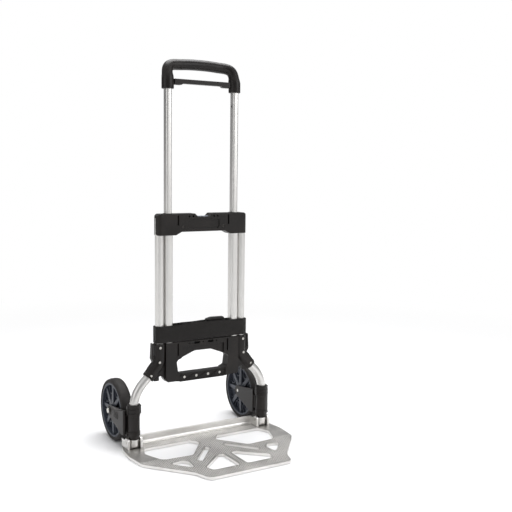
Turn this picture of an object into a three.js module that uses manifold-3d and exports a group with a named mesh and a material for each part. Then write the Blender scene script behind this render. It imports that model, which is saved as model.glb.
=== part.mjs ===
// Folding hand truck: a telescoping handle on a bent-tube frame, a toe plate that folds up,
// and two wheels whose forks swing inwards as the plate folds.
// Millimetres. X runs across the truck, Y towards the wheels, Z up; it stands on Z = 0.
// Pieces are shaped in the tube frame, where Y = 0 is the plane of all four frame tubes.

import * as THREE from 'three';
import { mergeVertices } from 'three/addons/utils/BufferGeometryUtils.js';
import Module from 'manifold-3d';

const wasm = await Module();
wasm.setup();

// ---------------------------------------------------------------- driving dimensions

const GAP = 0.3;                      // clearance kept between neighbouring pieces

const WHEEL_RADIUS = 90;
const TYRE_WIDTH = 34;
const TYRE_THICKNESS = 11.5;
const WHEEL_OFFSET = 5;               // wheel plane outboard of the fork's pivot axis
const AXLE_RADIUS = 5;
const BUSH_RADIUS = 8;

const ARM_GAP = 1.5;                  // tyre to fork arm
const ARM_THICKNESS = 4;
const TYRE_TO_PIVOT = 26;             // front of the tyre behind the pivot axis
const WHEELS_APART = 6;               // between the two tyres when they are folded in

const FRAME_TUBE_RADIUS = 12.5;
const FRAME_TUBE_WALL = 2;
const LOWER_BEND_RADIUS = 100;
const UPPER_BEND_RADIUS = 40;

const HANDLE_TUBE = { width: 17.5, depth: 22, corner: 5, wall: 1.5 };
const GUIDE_TUBE = { width: 23, depth: 27, corner: 6.5, wall: 2 };
const HANDLE_TUBE_X = 105;            // centre plane of a handle tube
const TUBE_CLEARANCE = 1.5;           // between a guide tube and the frame tube beside it
const HANDLE_TRAVEL = 335;
const HANDLE_OVERLAP = 139;           // guide tube left below a fully retracted handle, plus grip

const BRACKET_DEPTH = 33;
const MID_BRACKET_HEIGHT = 61;
const STRAP_WIDTH = 49;
const STRAP_THICKNESS = 3.6;

const PLATE_REACH = 298;              // pivot axis to the toe plate's front edge
const PLATE_THICKNESS = 8;
const PLATE_WEB = 3.5;                // skin of the plate between its ribs
const PLATE_RIM = 4;
const FOLD_GAP = 1.5;                 // folded plate to the fork arms
const FLANGE_FRONT = 29;              // rear flange behind the pivot axis
const FLANGE_THICKNESS = 5;
const FLANGE_HEIGHT = 32;
const COLLAR_WALL = 5.2;
const CONE_WALL = 1.2;                // wall of the lower collar's narrow end, between the ears
const EAR_CLEARANCE = 1.5;            // from that end to each ear
const EAR_THICKNESS = 7;
const EAR_NOSE = 12;                  // radius of an ear's front end about the pin
const TOE_PIN_RADIUS = 4;

const GRIP_RADIUS = 15;
const SLEEVE_RADIUS = 17;
const GRIP_RISE = 66;                 // sleeve mouth to the bar's centre line
const GRIP_LEAN = 18;                 // bar set back from the tubes
const RELEASE_TRAVEL = 7;

// ---------------------------------------------------------------- places worked out from them

const AXLE_REACH = WHEEL_RADIUS + TYRE_TO_PIVOT;
const FOOT_X = AXLE_REACH + WHEEL_RADIUS + WHEELS_APART / 2;
const FRAME_TUBE_X = HANDLE_TUBE_X + GUIDE_TUBE.width / 2 + TUBE_CLEARANCE + FRAME_TUBE_RADIUS;
const SLEEVE_INNER = FRAME_TUBE_RADIUS + GAP;
const EAR_INNER = SLEEVE_INNER + CONE_WALL + EAR_CLEARANCE;     // from a foot's centre to its ears
const FORK_HALF = TYRE_WIDTH / 2 + ARM_GAP + ARM_THICKNESS;
const TOE_PIN_Z = PLATE_THICKNESS + FORK_HALF - WHEEL_OFFSET + FOLD_GAP;
const BEND_START = WHEEL_RADIUS + 30;
const ELBOW_Z = FOOT_X + BEND_START + LOWER_BEND_RADIUS * (Math.SQRT2 - 1) - FRAME_TUBE_X;
const BASE_Z = ELBOW_Z - 57;          // underside of the lower bracket
const STRAP_Z = BASE_Z + 117;
const GUIDE_BOTTOM = BASE_Z + 6;
const MID_TOP = GUIDE_BOTTOM + HANDLE_TRAVEL + HANDLE_OVERLAP;
const MID_Z = MID_TOP - MID_BRACKET_HEIGHT;
const GRIP_Z = MID_TOP + HANDLE_TRAVEL + 7;
const HANDLE_TUBE_BOTTOM = GRIP_Z - HANDLE_TRAVEL - 111;
const HANDLE_TUBE_TOP = GRIP_Z + 34;
const BRACKET_HALF_WIDTH = FRAME_TUBE_X + FRAME_TUBE_RADIUS;
const TUBE_PLANE_Y = (PLATE_REACH - AXLE_REACH - WHEEL_RADIUS) / 2;

// ---------------------------------------------------------------- shape helpers

// A closed outline through corner points [x, y, radius], each corner rounded by its radius with
// enough short sides to stay within CHORD_ERROR of the arc.
const CHORD_ERROR = 0.3;

// Corner i of an outline, counted round and round.
function cornerPoint(corners, i) {
  const [x, y] = corners.at(i % corners.length);
  return new THREE.Vector2(x, y);
}

function rounded(corners) {
  const points = corners.flatMap(([x, y, radius = 0], i) => {
    const corner = new THREE.Vector2(x, y);
    if (radius === 0) return [corner];
    const before = cornerPoint(corners, i - 1).sub(corner).normalize();
    const after = cornerPoint(corners, i + 1).sub(corner).normalize();
    const half = before.angleTo(after) / 2;
    const start = before.clone().multiplyScalar(radius / Math.tan(half)).add(corner);
    const centre = before.clone().add(after).setLength(radius / Math.sin(half)).add(corner);
    const turn = Math.PI - 2 * half;
    const direction = -Math.sign(before.cross(after));
    const sides = Math.ceil(turn / (2 * Math.acos(Math.max(1 - CHORD_ERROR / radius, 0.5))));
    return Array.from({ length: sides + 1 }, (_, side) =>
      start.clone().rotateAround(centre, (direction * turn * side) / sides));
  });
  return new THREE.Shape(points);
}

const rectangle = (width, height, radius) => rounded([
  [-width / 2, -height / 2, radius], [width / 2, -height / 2, radius],
  [width / 2, height / 2, radius], [-width / 2, height / 2, radius],
]);

// A round outline, drawn as a polygon.
function disc(radius, sides) {
  const spoke = new THREE.Vector2(radius, 0);
  const origin = new THREE.Vector2();
  const corner = (_, i) => spoke.clone().rotateAround(origin, (2 * Math.PI * i) / sides);
  return new THREE.Shape(Array.from({ length: sides }, corner));
}

// The right half of an outline, from its lowest point on the centre line up, mirrored to the left.
const mirrored = (half) => rounded([...half, ...half.toReversed().map(([x, y, r]) => [-x, y, r])]);

// Extrusions of an outline drawn in XY, XZ or YZ, between two places on the third axis.
function prismZ(shape, low, high) {
  return new THREE.ExtrudeGeometry(shape, { depth: high - low, bevelEnabled: false }).translate(0, 0, low);
}

function prismY(shape, low, high) {
  return prismZ(shape, -high, -low).rotateX(Math.PI / 2);
}

function prismX(shape, low, high) {
  return prismZ(shape, low, high).rotateZ(Math.PI / 2).rotateY(Math.PI / 2);
}

const block = (x0, x1, y0, y1, z0, z1) =>
  new THREE.BoxGeometry(x1 - x0, y1 - y0, z1 - z0).translate((x0 + x1) / 2, (y0 + y1) / 2, (z0 + z1) / 2);

// A turned piece: a profile of [radius, height] points spun about Z. It starts and ends on the
// axis, or is closed here into a ring.
function turned(profile, sides = 24) {
  const closed = profile[0][0] === 0 ? profile : [...profile, profile[0]];
  const points = closed.map(([r, h]) => new THREE.Vector2(r, h));
  return new THREE.LatheGeometry(points, sides).rotateX(Math.PI / 2);
}

// The same about X, with heights running along +X.
const turnedX = (profile, sides) => turned(profile, sides).rotateY(Math.PI / 2);

const rodX = (radius, low, high, y, z, sides = 16) =>
  new THREE.CylinderGeometry(radius, radius, high - low, sides).rotateZ(Math.PI / 2)
    .translate((low + high) / 2, y, z);
const rodY = (radius, low, high, x, z, sides = 16) =>
  new THREE.CylinderGeometry(radius, radius, high - low, sides).translate(x, (low + high) / 2, z);
const rodZ = (radius, low, high, x, y, sides = 16) =>
  new THREE.CylinderGeometry(radius, radius, high - low, sides).rotateX(Math.PI / 2)
    .translate(x, y, (low + high) / 2);

// A path given by its points and by the direction of travel at each, for a bent tube.
class BentLine extends THREE.Curve {
  constructor(stations) {
    super();
    this.stations = stations;
  }

  getPoint(t, target = new THREE.Vector3()) {
    return target.copy(this.stations[Math.round(t * (this.stations.length - 1))].point);
  }

  getSpacedPoints() {
    return this.stations.map((station) => station.point);
  }

  getTangentAt(t, target = new THREE.Vector3()) {
    return target.copy(this.stations[Math.round(t * (this.stations.length - 1))].direction);
  }

  sweep(shape) {
    return new THREE.ExtrudeGeometry(shape, { steps: this.stations.length - 1, extrudePath: this });
  }
}

// ---------------------------------------------------------------- joining and cutting

function toSolid(geometry) {
  const bare = geometry.clone();
  bare.deleteAttribute('normal');
  bare.deleteAttribute('uv');
  const merged = mergeVertices(bare, 1e-4);
  return new wasm.Manifold(new wasm.Mesh({
    numProp: 3,
    vertProperties: merged.attributes.position.array,
    triVerts: Uint32Array.from(merged.index.array),
  }));
}

function toGeometry(solid) {
  const mesh = solid.getMesh();
  const geometry = new THREE.BufferGeometry();
  geometry.setAttribute('position', new THREE.BufferAttribute(mesh.vertProperties, 3));
  geometry.setIndex(new THREE.BufferAttribute(mesh.triVerts, 1));
  return geometry;
}

function join(...pieces) {
  return toGeometry(pieces.map(toSolid).reduce((all, piece) => all.add(piece)));
}

function cut(base, ...tools) {
  return toGeometry(tools.map(toSolid).reduce((left, tool) => left.subtract(tool), toSolid(base)));
}

function common(...pieces) {
  return toGeometry(pieces.map(toSolid).reduce((all, piece) => all.intersect(piece)));
}

// The mirror image across X = 0, with its faces turned to point outwards again.
function flippedX(geometry) {
  const image = mergeVertices(geometry.clone().scale(-1, 1, 1));
  const index = image.index.array;
  for (let i = 0; i < index.length; i += 3) [index[i], index[i + 1]] = [index[i + 1], index[i]];
  return image;
}

// ---------------------------------------------------------------- materials

function surface(color, roughness, metalness) {
  return new THREE.MeshStandardMaterial({ color, roughness, metalness });
}

const ALUMINIUM = surface(0xd9d6d1, 0.35, 0.9);
const CAST_ALUMINIUM = surface(0xc4bfb8, 0.45, 0.85);
const STEEL = surface(0x9a9a9c, 0.35, 0.9);
const BLACK_PLASTIC = surface(0x2f2c2a, 0.55, 0);
const GRIP_PLASTIC = surface(0x2b2827, 0.5, 0);
const HUB_PLASTIC = surface(0x4a4d58, 0.5, 0);
const TYRE_RUBBER = surface(0x24211f, 0.8, 0);
const WEBBING = surface(0x1d1a19, 0.9, 0);
const BAR_GREY = surface(0x8b8f9a, 0.5, 0);

const truck = new THREE.Group();
truck.position.y = TUBE_PLANE_Y;

function place(name, geometry, material) {
  const mesh = new THREE.Mesh(geometry, material);
  mesh.name = name;
  truck.add(mesh);
}

// A piece shaped for the right-hand side, and its mirror image on the left.
function placePair(name, geometry, material) {
  place(`right_${name}`, geometry, material);
  place(`left_${name}`, flippedX(geometry), material);
}

// ---------------------------------------------------------------- screws

// A screw driven in from the front, with a hexagon socket in its head: long ones hold two bracket
// halves together, and short ones hold a bracket to a frame tube's wall.
const SCREW = { head: 3.8, headHeight: 2.6, shank: 1.8 };
const LONG = 20;
const SHORT = 8;

function screw(x, z, face, length) {
  const { head, headHeight, shank } = SCREW;
  const body = turned([
    [0, 0], [head, 0], [head, headHeight], [shank, headHeight], [shank, length], [0, length],
  ], 10);
  return cut(body, rodZ(2, -1, 1.2, 0, 0, 6)).rotateX(-Math.PI / 2).translate(x, face, z);
}

function screwSpace(x, z, face, length) {
  const { head, headHeight, shank } = SCREW;
  const wide = rodY(head + GAP, face - 4, face + headHeight + GAP, x, z, 10);
  return join(wide, rodY(shank + GAP, face, face + length + GAP, x, z, 10));
}

const SCREW_SEAT = -BRACKET_DEPTH / 2 + 1;    // screw heads sit just below the front face

const BAR_HALF_DEPTH = 12;            // of the bar under the hand window
const SOCKET_X = FRAME_TUBE_X + 31.5; // where a frame tube leaves the lower bracket
const MID_SCREWS = [HANDLE_TUBE_X - 41, 41 - HANDLE_TUBE_X].map((x) => [x, MID_Z + 24]);
const BAR_SCREWS = [-57, -19, 19, 57].map((x) => [x, BASE_Z + 12]);
const TUBE_SCREWS = [
  [FRAME_TUBE_X + 3.5, BASE_Z + 105], [FRAME_TUBE_X + 5.5, BASE_Z + 64], [SOCKET_X, BASE_Z + 28],
];
const COLUMN_SCREWS = TUBE_SCREWS.flatMap(([x, z]) => [[x, z], [-x, z]]);

// ---------------------------------------------------------------- tubes

const COLLAR_BOTTOM = TOE_PIN_Z + 7;
const FOOT_JOINT_Z = COLLAR_BOTTOM + 4;       // a frame tube ends here, on its cast foot

// Right-hand frame tube: up from its foot, inwards at 45 degrees, then up again.
function frameTubePath(top) {
  const up = new THREE.Vector3(0, 0, 1);
  const stations = [];
  const arc = (centreX, centreZ, radius, from, to, steps) => {
    for (let i = 0; i <= steps; i++) {
      const angle = THREE.MathUtils.degToRad(from + ((to - from) * i) / steps);
      const point = new THREE.Vector3(Math.cos(angle), 0, Math.sin(angle)).multiplyScalar(radius)
        .add(new THREE.Vector3(centreX, 0, centreZ));
      const turn = Math.sign(to - from);
      const direction = new THREE.Vector3(-turn * Math.sin(angle), 0, turn * Math.cos(angle));
      stations.push({ point, direction });
    }
  };
  const upperCentreX = FRAME_TUBE_X + UPPER_BEND_RADIUS;
  const upperCentreZ = ELBOW_Z + UPPER_BEND_RADIUS * Math.tan(Math.PI / 8);
  stations.push({ point: new THREE.Vector3(FOOT_X, 0, FOOT_JOINT_Z), direction: up });
  arc(FOOT_X - LOWER_BEND_RADIUS, BEND_START, LOWER_BEND_RADIUS, 0, 45, 5);
  arc(upperCentreX, upperCentreZ, UPPER_BEND_RADIUS, 225, 180, 3);
  stations.push({ point: new THREE.Vector3(FRAME_TUBE_X, 0, top), direction: up });
  return new BentLine(stations);
}

const TUBE_SIDES = 16;
const FRAME_TUBE_TOP = MID_TOP - 12;

function frameTube() {
  const section = disc(FRAME_TUBE_RADIUS, TUBE_SIDES);
  section.holes.push(disc(FRAME_TUBE_RADIUS - FRAME_TUBE_WALL, TUBE_SIDES));
  const screwHoles = TUBE_SCREWS.map(([x, z]) => screwSpace(x, z, SCREW_SEAT, SHORT));
  return cut(frameTubePath(FRAME_TUBE_TOP).sweep(section), ...screwHoles);
}

// The space that a frame tube takes up in the pieces clamped round it.
function frameTubeSpace() {
  return frameTubePath(FRAME_TUBE_TOP + GAP).sweep(disc(FRAME_TUBE_RADIUS + GAP, TUBE_SIDES));
}

function boxTube({ width, depth, corner, wall }, low, high) {
  const section = rectangle(width, depth, corner);
  section.holes.push(rectangle(width - 2 * wall, depth - 2 * wall, corner - wall));
  return prismZ(section, low, high);
}

const boxTubeSpace = ({ width, depth, corner }, low, high) =>
  prismZ(rectangle(width + 2 * GAP, depth + 2 * GAP, corner + GAP), low, high);

placePair('frame_tube', frameTube(), ALUMINIUM);

const BUSH_HEIGHT = 13;
const GUIDE_TOP = MID_TOP - BUSH_HEIGHT - GAP;
const guideTube = boxTube(GUIDE_TUBE, GUIDE_BOTTOM, GUIDE_TOP).translate(HANDLE_TUBE_X, 0, 0);
placePair('guide_tube', guideTube, ALUMINIUM);

// Slide bush at the mouth of a guide tube: the handle tube runs in it.
function guideBush() {
  const section = rectangle(GUIDE_TUBE.width, GUIDE_TUBE.depth, GUIDE_TUBE.corner);
  const { width, depth, corner } = HANDLE_TUBE;
  section.holes.push(rectangle(width + 2 * GAP, depth + 2 * GAP, corner + GAP));
  return prismZ(section, MID_TOP - BUSH_HEIGHT, MID_TOP + 1).translate(HANDLE_TUBE_X, 0, 0);
}
placePair('guide_bush', guideBush(), BLACK_PLASTIC);

// ---------------------------------------------------------------- handle

const LATCH_HOLE_Z = GRIP_Z - 38;
const SLOT_BOTTOM = GRIP_Z + 14;
const SLOT_TOP = SLOT_BOTTOM + 9 + RELEASE_TRAVEL;
const TONGUE_HALF_DEPTH = 3;

// The slot that the release bar's tongue moves in, between two places across the truck.
function tongueSlot(low, high) {
  const halfDepth = TONGUE_HALF_DEPTH + GAP;
  return block(low, high, -halfDepth, halfDepth, SLOT_BOTTOM, SLOT_TOP);
}

// Handle tube with its latch holes and the slot for the tongue, all on the inner side.
function handleTube() {
  const tube = boxTube(HANDLE_TUBE, HANDLE_TUBE_BOTTOM, HANDLE_TUBE_TOP);
  const low = -HANDLE_TUBE.width / 2 - 1;
  const high = low + HANDLE_TUBE.wall + 2;
  const holes = [LATCH_HOLE_Z, LATCH_HOLE_Z - HANDLE_TRAVEL].map((z) => rodX(3.2, low, high, 0, z, 12));
  return cut(tube, tongueSlot(low, high), ...holes).translate(HANDLE_TUBE_X, 0, 0);
}
placePair('handle_tube', handleTube(), ALUMINIUM);

// Plug that closes the foot of a handle tube and keeps it straight in the guide tube.
const plug = turned([[0, 0], [6.6, 0], [6.6, 20], [0, 20]], 16)
  .translate(HANDLE_TUBE_X, 0, HANDLE_TUBE_BOTTOM + 1);
placePair('handle_plug', plug, BLACK_PLASTIC);

// Centre line of the grip: up out of one sleeve, over in a soft arch, and down into the other.
function gripLine() {
  const top = GRIP_Z + GRIP_RISE;
  const point = (x, y, z) => new THREE.Vector3(x, y, z);
  const bend = new THREE.CubicBezierCurve3(
    point(HANDLE_TUBE_X, 1, GRIP_Z + 26), point(HANDLE_TUBE_X + 3, GRIP_LEAN * 0.5, top - 6),
    point(HANDLE_TUBE_X - 16, GRIP_LEAN - 1, top), point(HANDLE_TUBE_X * 0.45, GRIP_LEAN, top + 4));
  const half = [point(HANDLE_TUBE_X, 0, GRIP_Z), ...bend.getPoints(8)];
  const otherHalf = half.toReversed().map(({ x, y, z }) => point(-x, y, z));
  const points = [...half, point(0, GRIP_LEAN + 1, top + 6), ...otherHalf];
  const stations = points.map((here, i) => {
    const before = points[Math.max(i - 1, 0)];
    const after = points[Math.min(i + 1, points.length - 1)];
    return { point: here, direction: after.clone().sub(before).normalize() };
  });
  stations[0].direction.set(0, 0, 1);
  stations.at(-1).direction.set(0, 0, -1);
  return new BentLine(stations);
}

const BAR_HALF = HANDLE_TUBE_X - SLEEVE_RADIUS - GAP;

function handleGrip() {
  const bow = gripLine().sweep(disc(GRIP_RADIUS, 14));
  const sides = [1, -1].map((side) => side * HANDLE_TUBE_X);
  const sleeves = sides.map((x) => turned([
    [0, 0], [SLEEVE_RADIUS, 0], [SLEEVE_RADIUS, 30], [GRIP_RADIUS, 44], [0, 44],
  ], 20).translate(x, 0, GRIP_Z));
  const sockets = sides.map((x) =>
    boxTubeSpace(HANDLE_TUBE, GRIP_Z - 1, HANDLE_TUBE_TOP + GAP).translate(x, 0, 0));
  return cut(join(bow, ...sleeves), ...sockets, tongueSlot(-HANDLE_TUBE_X, HANDLE_TUBE_X));
}
place('handle_grip', handleGrip(), GRIP_PLASTIC);

// ---------------------------------------------------------------- release bar and its rods

const TONGUE_TIP = HANDLE_TUBE_X - 4;
const BAR_BOTTOM = SLOT_BOTTOM + 2;

function releaseBar() {
  const side = rounded([
    [-BAR_HALF, -4, 2], [-BAR_HALF + 22, -4, 3], [-BAR_HALF + 28, 0, 3], [BAR_HALF - 28, 0, 3],
    [BAR_HALF - 22, -4, 3], [BAR_HALF, -4, 2], [BAR_HALF, 12, 2], [-BAR_HALF, 12, 2],
  ]);
  const bar = prismY(side, -8, 8);
  const tongue = block(-TONGUE_TIP, TONGUE_TIP, -TONGUE_HALF_DEPTH, TONGUE_HALF_DEPTH, 0, 6);
  return join(bar, tongue).translate(0, 0, BAR_BOTTOM);
}
place('release_bar', releaseBar(), GRIP_PLASTIC);

// Pull rod inside a handle tube, hooked on the release bar's tongue at its top.
const ROD_TOP = BAR_BOTTOM + 10;
const ROD_RADIUS = 2.4;
const ROD_X = HANDLE_TUBE_X + 1;
const releaseRod = join(
  rodZ(ROD_RADIUS, HANDLE_TUBE_BOTTOM + 60, ROD_TOP, ROD_X, 0, 10),
  block(TONGUE_TIP - 1.8, ROD_X, -2, 2, BAR_BOTTOM + 6 + GAP, ROD_TOP - 1));
placePair('release_rod', releaseRod, STEEL);

// Latch plunger low in a handle tube, drawn back by the pull rod.
const PLUNGER_Z = LATCH_HOLE_Z - HANDLE_TRAVEL;
const PLUNGER_TRAVEL = 3;
const PLUNGER_TAIL = ROD_X - HANDLE_TUBE_X - ROD_RADIUS - GAP - PLUNGER_TRAVEL;
const plunger = join(
  rodX(2.8, -HANDLE_TUBE.width / 2 + 0.5, -6, 0, PLUNGER_Z, 12),
  block(-6.9, PLUNGER_TAIL, -4.5, 4.5, PLUNGER_Z - 6, PLUNGER_Z + 6),
).translate(HANDLE_TUBE_X, 0, 0);
placePair('latch_plunger', plunger, STEEL);

// ---------------------------------------------------------------- mid bracket

const SPLIT = GAP / 2;                // each bracket half stops this far from the tube plane

// Front and rear halves of a bracket that clamps the tubes.
function bracketHalves(name, body, material) {
  const reach = FOOT_X + BRACKET_DEPTH;
  const top = GRIP_Z;
  place(`${name}_front`, common(body, block(-reach, reach, -BRACKET_DEPTH, -SPLIT, 0, top)), material);
  place(`${name}_rear`, common(body, block(-reach, reach, SPLIT, BRACKET_DEPTH, 0, top)), material);
}

const tubeSpaces = () => {
  const right = [
    frameTubeSpace(),
    boxTubeSpace(GUIDE_TUBE, GUIDE_BOTTOM - GAP, MID_TOP + 2).translate(HANDLE_TUBE_X, 0, 0),
  ];
  return [...right, ...right.map(flippedX)];
};

const MID_NOTCH = 18;

function midBracket() {
  const height = MID_BRACKET_HEIGHT;
  const front = mirrored([
    [0, 10], [69, 10, 4], [86, 1, 3], [BRACKET_HALF_WIDTH, 1, 4],
    [BRACKET_HALF_WIDTH, height - 6, 5], [BRACKET_HALF_WIDTH - 10, height, 6],
    [27, height, 4], [MID_NOTCH, height - 9, 2], [0, height - 9],
  ].map(([x, z, r]) => [x, z + MID_Z, r]));
  const plan = rectangle(2 * BRACKET_HALF_WIDTH, BRACKET_DEPTH, 13);
  const body = common(prismY(front, -BRACKET_DEPTH, BRACKET_DEPTH), prismZ(plan, MID_Z - 1, MID_TOP + 1));
  const face = BRACKET_DEPTH / 2;
  const recesses = [-1, 1].map((side) => {
    const shallow = mirrored([[0, 18], [44, 18, 2], [50, 24, 2], [50, 42, 2], [44, 45, 2], [0, 45]]
      .map(([x, z, r]) => [x, z + MID_Z, r]));
    return prismY(shallow, face - 3, face).translate(0, side < 0 ? 3 - 2 * face : 0, 0);
  });
  const holes = [-45, -33, 33, 45].map((x) => rodY(2.4, -face - 1, face + 1, x, MID_Z + 53, 10));
  const slots = [-80, 80].map((x) => block(x - 2, x + 2, -face - 1, -face + 6, MID_Z + 28, MID_Z + 56));
  const barPocket = prismX(rectangle(10.6, 9.6, 3), -23, 23).translate(0, 0, MID_TOP - 12);
  const screws = MID_SCREWS.map(([x, z]) => screwSpace(x, z, SCREW_SEAT, LONG));
  return cut(body, ...tubeSpaces(), ...recesses, ...holes, ...slots, barPocket, ...screws);
}
bracketHalves('mid_bracket', midBracket(), BLACK_PLASTIC);

// Crossbar in the bracket's notch, where the elastic strap hooks on.
const strapBar = prismX(rectangle(10, 9, 2.8), -22.7, 22.7).translate(0, 0, MID_TOP - 12);
place('strap_bar', strapBar, BAR_GREY);

MID_SCREWS.forEach(([x, z], i) => place(`mid_screw_${i + 1}`, screw(x, z, SCREW_SEAT, LONG), STEEL));

// ---------------------------------------------------------------- lower bracket

const COLUMN_X = 84;                  // inner edge of the columns at the hand window
const SOCKET_WALL = 4.1;              // of the round sleeve over each frame tube
const WEB_HALF_DEPTH = 8;             // of the web between a socket and its column
const COLUMN_REACH = HANDLE_TUBE_X + GUIDE_TUBE.width / 2 + 1;

// The room that the bracket fills from front to back: full depth at the columns, round over the
// frame tubes, and thin in the webs beside the sockets.
function bracketRoom() {
  const face = BRACKET_DEPTH / 2;
  const top = BASE_Z + 130;
  const sleeve = frameTubePath(top).sweep(disc(SLEEVE_INNER + SOCKET_WALL, 32));
  const bosses = COLUMN_SCREWS.map(([x, z]) => rodY(SCREW.head + 1.6, -face, 0, x, z, 12));
  return join(
    block(-COLUMN_REACH, COLUMN_REACH, -face, face, BASE_Z - 1, top),
    block(-FOOT_X, FOOT_X, -WEB_HALF_DEPTH, WEB_HALF_DEPTH, BASE_Z - 1, top),
    sleeve, flippedX(sleeve), ...bosses);
}

function lowerBracket() {
  const edge = FRAME_TUBE_X + SLEEVE_INNER + SOCKET_WALL + 0.5;
  const front = mirrored([
    [0, 0], [64, 0, 3], [86, 4, 3], [112, 4, 4], [125, 20, 3],
    [130, 24, 3], [136, 21, 2], [135, 10, 2], [150, 10, 3], [SOCKET_X + 16, 30, 3],
    [SOCKET_X - 3, 55, 6], [edge, 67, 8], [edge, 116, 3], [0, 116],
  ].map(([x, z, r]) => [x, z + BASE_Z, r]));
  const plan = rectangle(2 * (SOCKET_X + 16), BRACKET_DEPTH, 6);
  const slab = common(
    prismY(front, -BRACKET_DEPTH, BRACKET_DEPTH),
    prismZ(plan, BASE_Z - 1, BASE_Z + 130),
    bracketRoom());
  const window = mirrored([
    [0, 24], [64, 24, 4], [80, 30, 4], [COLUMN_X, 59, 4], [80, 65, 5], [26, 86, 10], [0, 86],
  ].map(([x, z, r]) => [x, z + BASE_Z, r]));
  const face = BRACKET_DEPTH / 2;
  const openings = [
    prismY(window, -face - 1, face + 1),
    ...[-22, 22].map((x) => prismY(rectangle(22, 7, 2), -face - 1, face + 1).translate(x, 0, BASE_Z + 110)),
    ...[-43, 0, 43].map((x) => rodY(2, -face - 1, face + 1, x, BASE_Z + 110, 10)),
  ];
  const slots = [-80, 80].map((x) => block(x - 2, x + 2, -face - 1, -face + 7, BASE_Z + 76, BASE_Z + 112));
  // A hook on the outside of each column, which the end of the strap is wound behind.
  const cleat = prismY(rounded([
    [edge - 7, 61, 1], [edge + 2, 59, 3], [edge + 9.5, 74, 6], [edge + 7, 118, 2],
    [edge + 3.5, 118, 1.5], [edge + 4, 80, 3], [edge - 7, 76, 3],
  ].map(([x, z, r]) => [x, z + BASE_Z, r])), -7, 7);
  const cleats = [cleat, flippedX(cleat)];
  // The bars under and over the window are thinner than the columns.
  const steps = [-1, 1].flatMap((side) => [[74, -1, 24.5], [68, 62, 101]].map(([reach, low, high]) => block(
    -reach, reach, Math.min(side * BAR_HALF_DEPTH, side * 20), Math.max(side * BAR_HALF_DEPTH, side * 20),
    BASE_Z + low, BASE_Z + high)));
  return cut(join(slab, ...cleats), ...openings, ...slots, ...steps, ...tubeSpaces(),
    ...BAR_SCREWS.map(([x, z]) => screwSpace(x, z, 1 - BAR_HALF_DEPTH, LONG)),
    ...COLUMN_SCREWS.map(([x, z]) => screwSpace(x, z, SCREW_SEAT, SHORT)));
}
bracketHalves('lower_bracket', lowerBracket(), BLACK_PLASTIC);

BAR_SCREWS.forEach(([x, z], i) => place(`bar_screw_${i + 1}`, screw(x, z, 1 - BAR_HALF_DEPTH, LONG), STEEL));
COLUMN_SCREWS.forEach(([x, z], i) => place(`column_screw_${i + 1}`, screw(x, z, SCREW_SEAT, SHORT), STEEL));

// ---------------------------------------------------------------- elastic strap, stowed round the frame

const STRAP_INNER_DEPTH = Math.max(GUIDE_TUBE.depth, 2 * FRAME_TUBE_RADIUS) + 2 * GAP;
const STRAP_INNER_WIDTH = 2 * (FRAME_TUBE_X + FRAME_TUBE_RADIUS + GAP);

function strap() {
  const grow = 2 * STRAP_THICKNESS;
  const outer = rectangle(STRAP_INNER_WIDTH + grow, STRAP_INNER_DEPTH + grow, 13);
  outer.holes.push(rectangle(STRAP_INNER_WIDTH, STRAP_INNER_DEPTH, 13 - STRAP_THICKNESS));
  return prismZ(outer, STRAP_Z, STRAP_Z + STRAP_WIDTH);
}
place('strap', strap(), WEBBING);

// The strap's spare length, folded up between its two runs, and the hook on its end.
const BUNDLE = { from: -62, to: 76 };
const bundle = prismY(rounded([
  [BUNDLE.from, 4, 3], [BUNDLE.to, 4, 3], [BUNDLE.to, STRAP_WIDTH + 4, 4],
  [12, STRAP_WIDTH + 6, 4], [4, STRAP_WIDTH + 2, 4], [BUNDLE.from, STRAP_WIDTH + 1, 3],
]), -STRAP_INNER_DEPTH / 2 + GAP, STRAP_INNER_DEPTH / 2 - GAP).translate(0, 0, STRAP_Z);
place('strap_bundle', bundle, WEBBING);

function strapHook() {
  const side = rounded([
    [14, 0, 2], [70, 0, 3], [74, 3, 2], [70, 8, 3], [30, 9, 3], [14, 5, 2],
  ]);
  return prismY(side, -9, 3).translate(0, 0, STRAP_Z + STRAP_WIDTH + 6 + GAP);
}
place('strap_hook', strapHook(), GRIP_PLASTIC);

// ---------------------------------------------------------------- pivot sleeves and feet

const FORK_BOTTOM = COLLAR_BOTTOM + 23;
const FORK_TOP = WHEEL_RADIUS + 11;
const UPPER_COLLAR_TOP = FORK_TOP + 33;
const COLLAR_RADIUS = SLEEVE_INNER + COLLAR_WALL;

// Lower collar: flared under the fork, narrow where the plate's ears come up beside it.
function lowerCollar() {
  const height = FORK_BOTTOM - COLLAR_BOTTOM;
  const cone = SLEEVE_INNER + CONE_WALL;
  const body = turned([
    [SLEEVE_INNER, 0], [cone, 0], [cone + 0.6, 6], [COLLAR_RADIUS, 12], [COLLAR_RADIUS, height],
    [SLEEVE_INNER, height],
  ]);
  const boss = rodX(3.4, COLLAR_RADIUS - 3, COLLAR_RADIUS + 5, 0, 14, 10);
  return join(body, boss).translate(FOOT_X, 0, COLLAR_BOTTOM);
}
placePair('lower_collar', lowerCollar(), BLACK_PLASTIC);

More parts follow.
